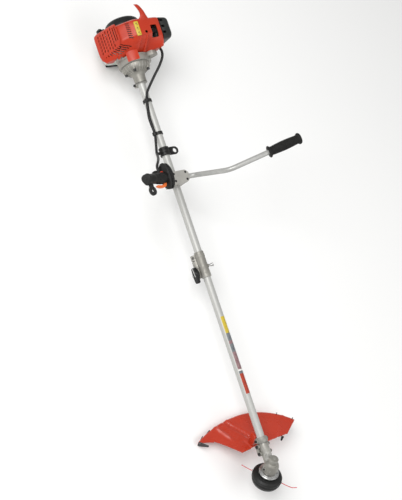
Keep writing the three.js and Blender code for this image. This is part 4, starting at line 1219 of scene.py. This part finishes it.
def gearbox():
    body = lathe([(-45, 0), (-45, 13.6), (-44.4, 15.2), (-43, 16.2), (-34, 16.2), (-33, 15.2), (-31, 15.2),
            (-30, 15.6), (-25, 16), (-21, 21), (-16, 24.6), (-8, 27), (8, 27), (12, 26), (16, 25),
            (19, 24.4), (21.5, 23), (21.5, 0)], head, 72)
    neck = rod(17.2, along_shaft(-60), along_shaft(-4), 56, head, bevel=2)
    socket = rod(17.4, along_shaft(-86), along_shaft(-40), 56, head, bevel=1.4)
    cheeks = []
    for distance in (-79, -53):
        ends = (along_shaft(distance, -24, -6), along_shaft(distance, 24, -6))
        cheeks.append(rod(8, *ends, 28, head, bevel=1.2))
    web = block((-6, 6), (-24, 24), (-80, -54), lambda p: head(along_shaft(p[2], p[1], p[0] - 14)), 2)
    lug = rod(6, (-22, 0, 18), (2, 0, 24), 28, head, bevel=1)
    side_boss = rod(7.5, (0, -24, 0), (0, -30, 0), 32, head, bevel=1)
    gussets = []
    for angle in turns(6, 0.3):
        gussets.append(prism([(-20, 12), (-6, 27.8), (19, 25.5), (19, 12)], -1.3, 1.3, turned(head, angle)))
    housing = join(body, neck, socket, *cheeks, web, lug, side_boss, *gussets)
    housing = cut(
        housing,
        rod(TUBE_BORE, along_shaft(-100), along_shaft(-45), 56, head),
        rod(17, along_shaft(-46), along_shaft(-2), 40, head),
        rod(22, (-14, 0, 0), (14, 0, 0), 40, head),
        rod(6.6, (0, 0, 0), (40, 0, 0), 32, head),
        block((-60, 0), (-1.1, 1.1), (-90, -50), lambda p: head(along_shaft(p[2], p[1], p[0]))),
    )
    finish(housing, "gear_case", LOWER, "cast_alloy", CAST, "gearbox_housing")
    screws = []
    for distance in (-79, -53):
        screws.append(screw(along_shaft(distance, -23.4, -6), (0, -1, 0), 6, 5.5, head))
        screws.append(screw(along_shaft(distance, 23.4, -6), (0, 1, 0), 5.4, 4, head))
    screws.append(screw((0, -29.4, 0), (0, -1, 0), 4.2, 3, head))
    finish_screws(screws, "gear_case_screws", LOWER)
    plug = lathe([(-46.6, 0), (-46.6, 4), (-46, 5), (-44.5, 5.2), (-44.5, 0)], head, 6)
    finish(plug, "grease_plug", LOWER, "steel", CAST)


def drive_flange():
    disc = lathe([(22.2, 6.3), (22.2, 27), (22.8, 29.4), (24, 31), (24.6, 34.6), (25.6, 36), (30, 36),
            (31, 35), (31, 20), (36, 20), (36, 6.3), (22.2, 6.3)], head, 96)
    holes = []
    for angle in turns(4, math.pi / 4):
        at = polar(26.5, angle)
        holes.append(rod(2.6, (18, *at), (28, *at), 28, head))
    groove = lathe([(22, 21), (22, 22.4), (22.8, 22.4), (22.8, 21), (22, 21)], head, 96)
    finish(cut(disc, gather(holes), groove), "flange_disc", "head", "steel", STEEL, "drive_flange")


def head_housing():
    shell = lathe([
        (36.4, 6.4), (36.4, 25.4), (37, 27), (38, 44), (39.5, 47), (43, 50.5), (44, 52), (47, 52.6),
        (48, 53.8), (50, 54), (52, 53.2), (53, 53.2), (55, 54), (62, 54), (63, 53.2), (64.2, 53.2),
        (66, 52.4), (70, 51.6), (76, 49), (80, 44), (82, 39), (82, 23), (79, 23), (79, 38), (74, 46.6),
        (62, 50.6), (54, 50.6), (45, 48.6), (42, 44), (39.6, 26), (39.6, 6.4), (36.4, 6.4),
    ], head, 120)
    grooves = []
    for angle in turns(16):
        radial = Vector((0, *polar(1, angle)))
        at = Vector((69.5, 0, 0)) + radial * 53.4
        grooves.append(stadium(at, Vector((1, 0, 0)) - radial * 0.3, radial, 13, 5, 3.6, head))
    body = cut(shell, rod(2.3, (56, -42, -56), (56, 42, 56), 28, head), gather(grooves))
    finish(body, "head_drum", "head", "black_plastic", BLACK, "head_housing")
    for side_name, sign in (("right", -1), ("left", 1)):
        out = Vector((0, 42, 56)).normalized() * sign
        middle = Vector((56, 0, 0))
        first, second = axes_towards(out)
        eyelet = lathe([(52.2, 2.2), (52.2, 4), (54.2, 4), (54.6, 5.4), (55.6, 5.2), (56.2, 3.8), (56, 2.4),
                (52.2, 2.2)], lambda p: head(middle + out * p[0] + first * p[1] + second * p[2]), 36)
        finish(eyelet, f"eyelet_{side_name}", "head", "steel", STEEL)


def bump_knob():
    knob = lathe([(74.5, 0), (74.5, 21), (75.4, 22), (85, 22), (86.5, 22.6), (89, 24), (92, 24), (95, 22.6),
            (97, 19), (98, 12), (98, 0)], head, 72)
    flutes = []
    for at in circle(26.4, 10):
        flutes.append(rod(4.2, (86.5, *at), (102, *at), 20, head))
    finish(cut(knob, gather(flutes)), "bump_button", "bump", "black_plastic", BLACK, "bump_knob")


def cutting_lines():
    right = [(56, -27, -36), (56, -36, -48), (56, -46, -64), (56, -55, -81)]
    left = [(56, 27, 36), (56, 36, 48), (56.4, 47, 64), (57, 59, 76), (57.5, 75, 82)]
    for side_name, route in (("right", right), ("left", left)):
        line = sweep(smooth_path(route, 10), 1.35, 16, head)
        finish(line, f"line_{side_name}", "head", "line_nylon", LINE, f"cutting_line_{side_name}")


# ---- guard

def bell(x, middle, width):
    """A smooth bump of height 1."""
    return math.exp(-((x - middle) / width) ** 2)


def step_up(x, start, end):
    """A smooth step from 0 to 1."""
    t = min(max((x - start) / (end - start), 0), 1)
    return t * t * (3 - 2 * t)


CUT_START, CUT_SLOPE = math.radians(-30), 1500
TIP_START, TIP_SLOPE = math.radians(-35), 400


def guard_rim(angle):
    return GUARD_RADIUS + (55 * angle * angle if angle < 0 else 15 * angle)


def guard_inner(angle):
    """The inner edge is straight, and runs out to the rim beyond the fold."""
    front = 96 / math.cos(min(abs(angle), 0.98))
    cut_back = max(CUT_START - angle, 0) * CUT_SLOPE
    tip = GUARD_RADIUS - 24 + max(TIP_START - angle, 0) * TIP_SLOPE
    return min(front + cut_back, tip)


FOLD_START = Vector((-30.4, 210.6))
FOLD_NORMAL = Vector((-0.868, -0.496))
FOLD_SLOPE = 0.13


def guard_top(angle, radius):
    """Height of the guard's upper face along the head's axis, larger is lower."""
    degrees = math.degrees(angle)
    y, back = radius * math.sin(angle), radius * math.cos(angle)
    beyond = FOLD_NORMAL.dot(Vector((y, back)) - FOLD_START)
    drop = FOLD_SLOPE * max(beyond, 0)
    crease = 4.2 * bell(beyond, 4, 7) - 2.0 * bell(beyond, -8, 7)
    ridge = 4.0 * bell(degrees, -21, 1.6) * step_up(radius, 150, 185)
    lip = 2.2 * step_up(radius, guard_rim(angle) - 26, guard_rim(angle) - 18)
    seam = 2.4 * bell(degrees, 46.5, 1.0)
    pad = 4 * step_up(degrees, -11, -9) * (1 - step_up(degrees, 9, 11)) * (1 - step_up(radius, 136, 142))
    return GUARD_TOP + drop + crease - ridge - lip - seam - pad


def guard_section(angle):
    """The sheet, its bend and its skirt, as (radius, height): out along the top and back underneath."""
    inner, rim = guard_inner(angle), guard_rim(angle)
    flat_end = rim - GUARD_EDGE - 1
    edge = guard_top(angle, flat_end)
    low = guard_top(angle, rim) + GUARD_SKIRT
    sheet = [inner + (flat_end - inner) * k / 14 for k in range(15)]
    bend = [k / 5 * math.pi / 2 for k in range(6)]
    centre = rim - GUARD_EDGE
    inside = GUARD_EDGE - GUARD_SHEET
    section = [(r, guard_top(angle, r)) for r in sheet]
    for t in bend[1:]:
        section.append((centre + GUARD_EDGE * math.sin(t), edge + GUARD_EDGE * (1 - math.cos(t))))
    section += [(rim, low - 2), (rim + 0.6, low - 1.4), (rim + 0.6, low - 0.4), (rim, low),
            (rim - GUARD_SHEET, low)]
    for t in reversed(bend):
        section.append((centre + inside * math.sin(t), edge + GUARD_SHEET + inside * (1 - math.cos(t))))
    return section + [(r, guard_top(angle, r) + GUARD_SHEET) for r in reversed(sheet)]


def guard():
    count = 98
    start, end = GUARD_ENDS
    rows = []
    for i in range(count):
        angle = start + (end - start) * i / (count - 1)
        section = guard_section(angle)
        rows.append([head((h, r * math.sin(angle), -r * math.cos(angle))) for r, h in section])
    finish(skin(rows), "guard_shell", LOWER, "red_plastic", RED_GUARD, "guard", angle=28)


def guard_trim():
    """Small black clips, pins and a catch along the guard's edges."""
    def at(degrees, radius, height):
        angle = math.radians(degrees)
        return height, radius * math.sin(angle), -radius * math.cos(angle)

    clips = []
    for degrees in (-36, -28):
        angle = math.radians(degrees)
        rim = guard_rim(angle)
        out = Vector((0, math.sin(angle), -math.cos(angle)))
        around = Vector((0, *polar(1, angle)))
        centre = Vector((guard_top(angle, rim) + 8, 0, 0)) + out * (rim + 0.4)
        clips.append(stadium(centre, around, out, 26, 7, 2.4, head))
    for degrees in (41, 55):
        angle = math.radians(degrees)
        rim = guard_rim(angle)
        top = guard_top(angle, rim)
        clips.append(rod(2, at(degrees, rim - 7, top + 3), at(degrees, rim - 3, top - 7), 16, head, 0.4, 1))
    clips.append(rod(5, at(53, 152, -4), at(53, 146, 12), 20, head, 1, 3))
    finish(gather(clips), "guard_clips", LOWER, "black_plastic", BLACK)


def guard_bracket():
    collar = rod(19.5, along_shaft(-108), along_shaft(-88), 56, head, bevel=1.6)
    for y in (-1, 1):
        boss = rod(9, along_shaft(-98, 12 * y, -3), along_shaft(-98, 23 * y, -3), 28, head, bevel=1)
        collar = join(collar, boss)
    web = prism(rounded([(-14, -124), (14, -124), (14, -98), (-14, -98)], 3), -56, -6.3,
            lambda p: head((p[2], p[0], p[1])), 0.8)

    def bore():
        return rod(TUBE_BORE, along_shaft(-190), along_shaft(-60), 56, head)

    finish(cut(collar, bore()), "guard_mount", LOWER, "cast_alloy", CAST, "guard_bracket")
    finish(cut(web, bore()), "guard_mount_web", LOWER, "red_plastic", RED_GUARD)
    screws = [screw(along_shaft(-98, 22.4 * y, -3), (0, y, 0), 5, 5, head) for y in (-1, 1)]
    finish_screws(screws, "guard_mount_screws", LOWER)


def cutter_blade():
    angle = GUARD_ENDS[0]
    rim = guard_rim(angle)
    top = GUARD_TOP + (math.radians(-9) - angle) * 30 + 1
    low = top + GUARD_SKIRT

    def space(p):
        return head((p[1], p[0] * math.sin(angle) + p[2] * math.cos(angle),
                p[2] * math.sin(angle) - p[0] * math.cos(angle)))

    outline = [(rim - 40, top), (rim - 1, top), (rim - 1, low), (rim - 14, low - 3), (rim - 40, top + 7)]
    sheet = prism(outline, -2.3, -0.3, space, 0.3)
    sheet = cut(sheet, rod(2.2, (rim - 8, top + 6, -5), (rim - 8, top + 6, 3), 24, space))
    finish(sheet, "line_cutter", LOWER, "steel", DARK_STEEL, "cutter_blade")


# ---- light and floor

FLOOR_SIZE = 8
FLOOR_DROP = 0.0006              # keeps the feet from lying in the floor
WORLD_STRENGTH = 0.46
LAMPS = (("key", (-0.9, -2.2, 3.3), 2.4, 118), ("fill", (1.9, 0.9, 2.8), 2.8, 34))


def stage():
    corners = [(x * FLOOR_SIZE, y * FLOOR_SIZE, -FLOOR_DROP) for x, y in ((-1, -1), (1, -1), (1, 1),
            (-1, 1))]
    floor = link_mesh("floor", corners, [(0, 1, 2, 3)])
    plain = bpy.data.materials.new("floor")
    plain.use_nodes = True
    put(plain.node_tree.nodes["Principled BSDF"], Base_Color=(0.93, 0.93, 0.92, 1), Roughness=0.9)
    floor.data.materials.append(plain)
    world = bpy.data.worlds.new("studio")
    world.use_nodes = True
    put(world.node_tree.nodes["Background"], Color=(1, 1, 1, 1), Strength=WORLD_STRENGTH)
    bpy.context.scene.world = world
    for name, at, size, power in LAMPS:
        lamp = bpy.data.lights.new(name, "AREA")
        lamp.size = size
        lamp.energy = power
        obj = bpy.data.objects.new(name, lamp)
        obj.location = at
        obj.rotation_euler = (Vector((0, 0, 0.1)) - Vector(at)).to_track_quat("-Z", "Y").to_euler()
        bpy.context.scene.collection.objects.link(obj)
    bpy.context.scene.view_settings.view_transform = "Standard"


# ---- assembly

engine_shroud()
shroud_label()
muffler_guard()
engine_block()
plug_boot()
fan_housing()
clutch_case()
fuel_tank()
fuel_cap()
tank_stand()
primer()
air_filter_cover()
starter()
tubes()
tube_bands()
shaft_coupler()
coupler_knob()
harness_ring()
cable_straps()
handlebar()
handlebar_clamp()
left_grip()
throttle()
throttle_collar()
trigger()
lockout()
stop_slider()
throttle_cable()
gearbox()
drive_flange()
head_housing()
bump_knob()
cutting_lines()
guard()
guard_trim()
guard_bracket()
cutter_blade()
stage()
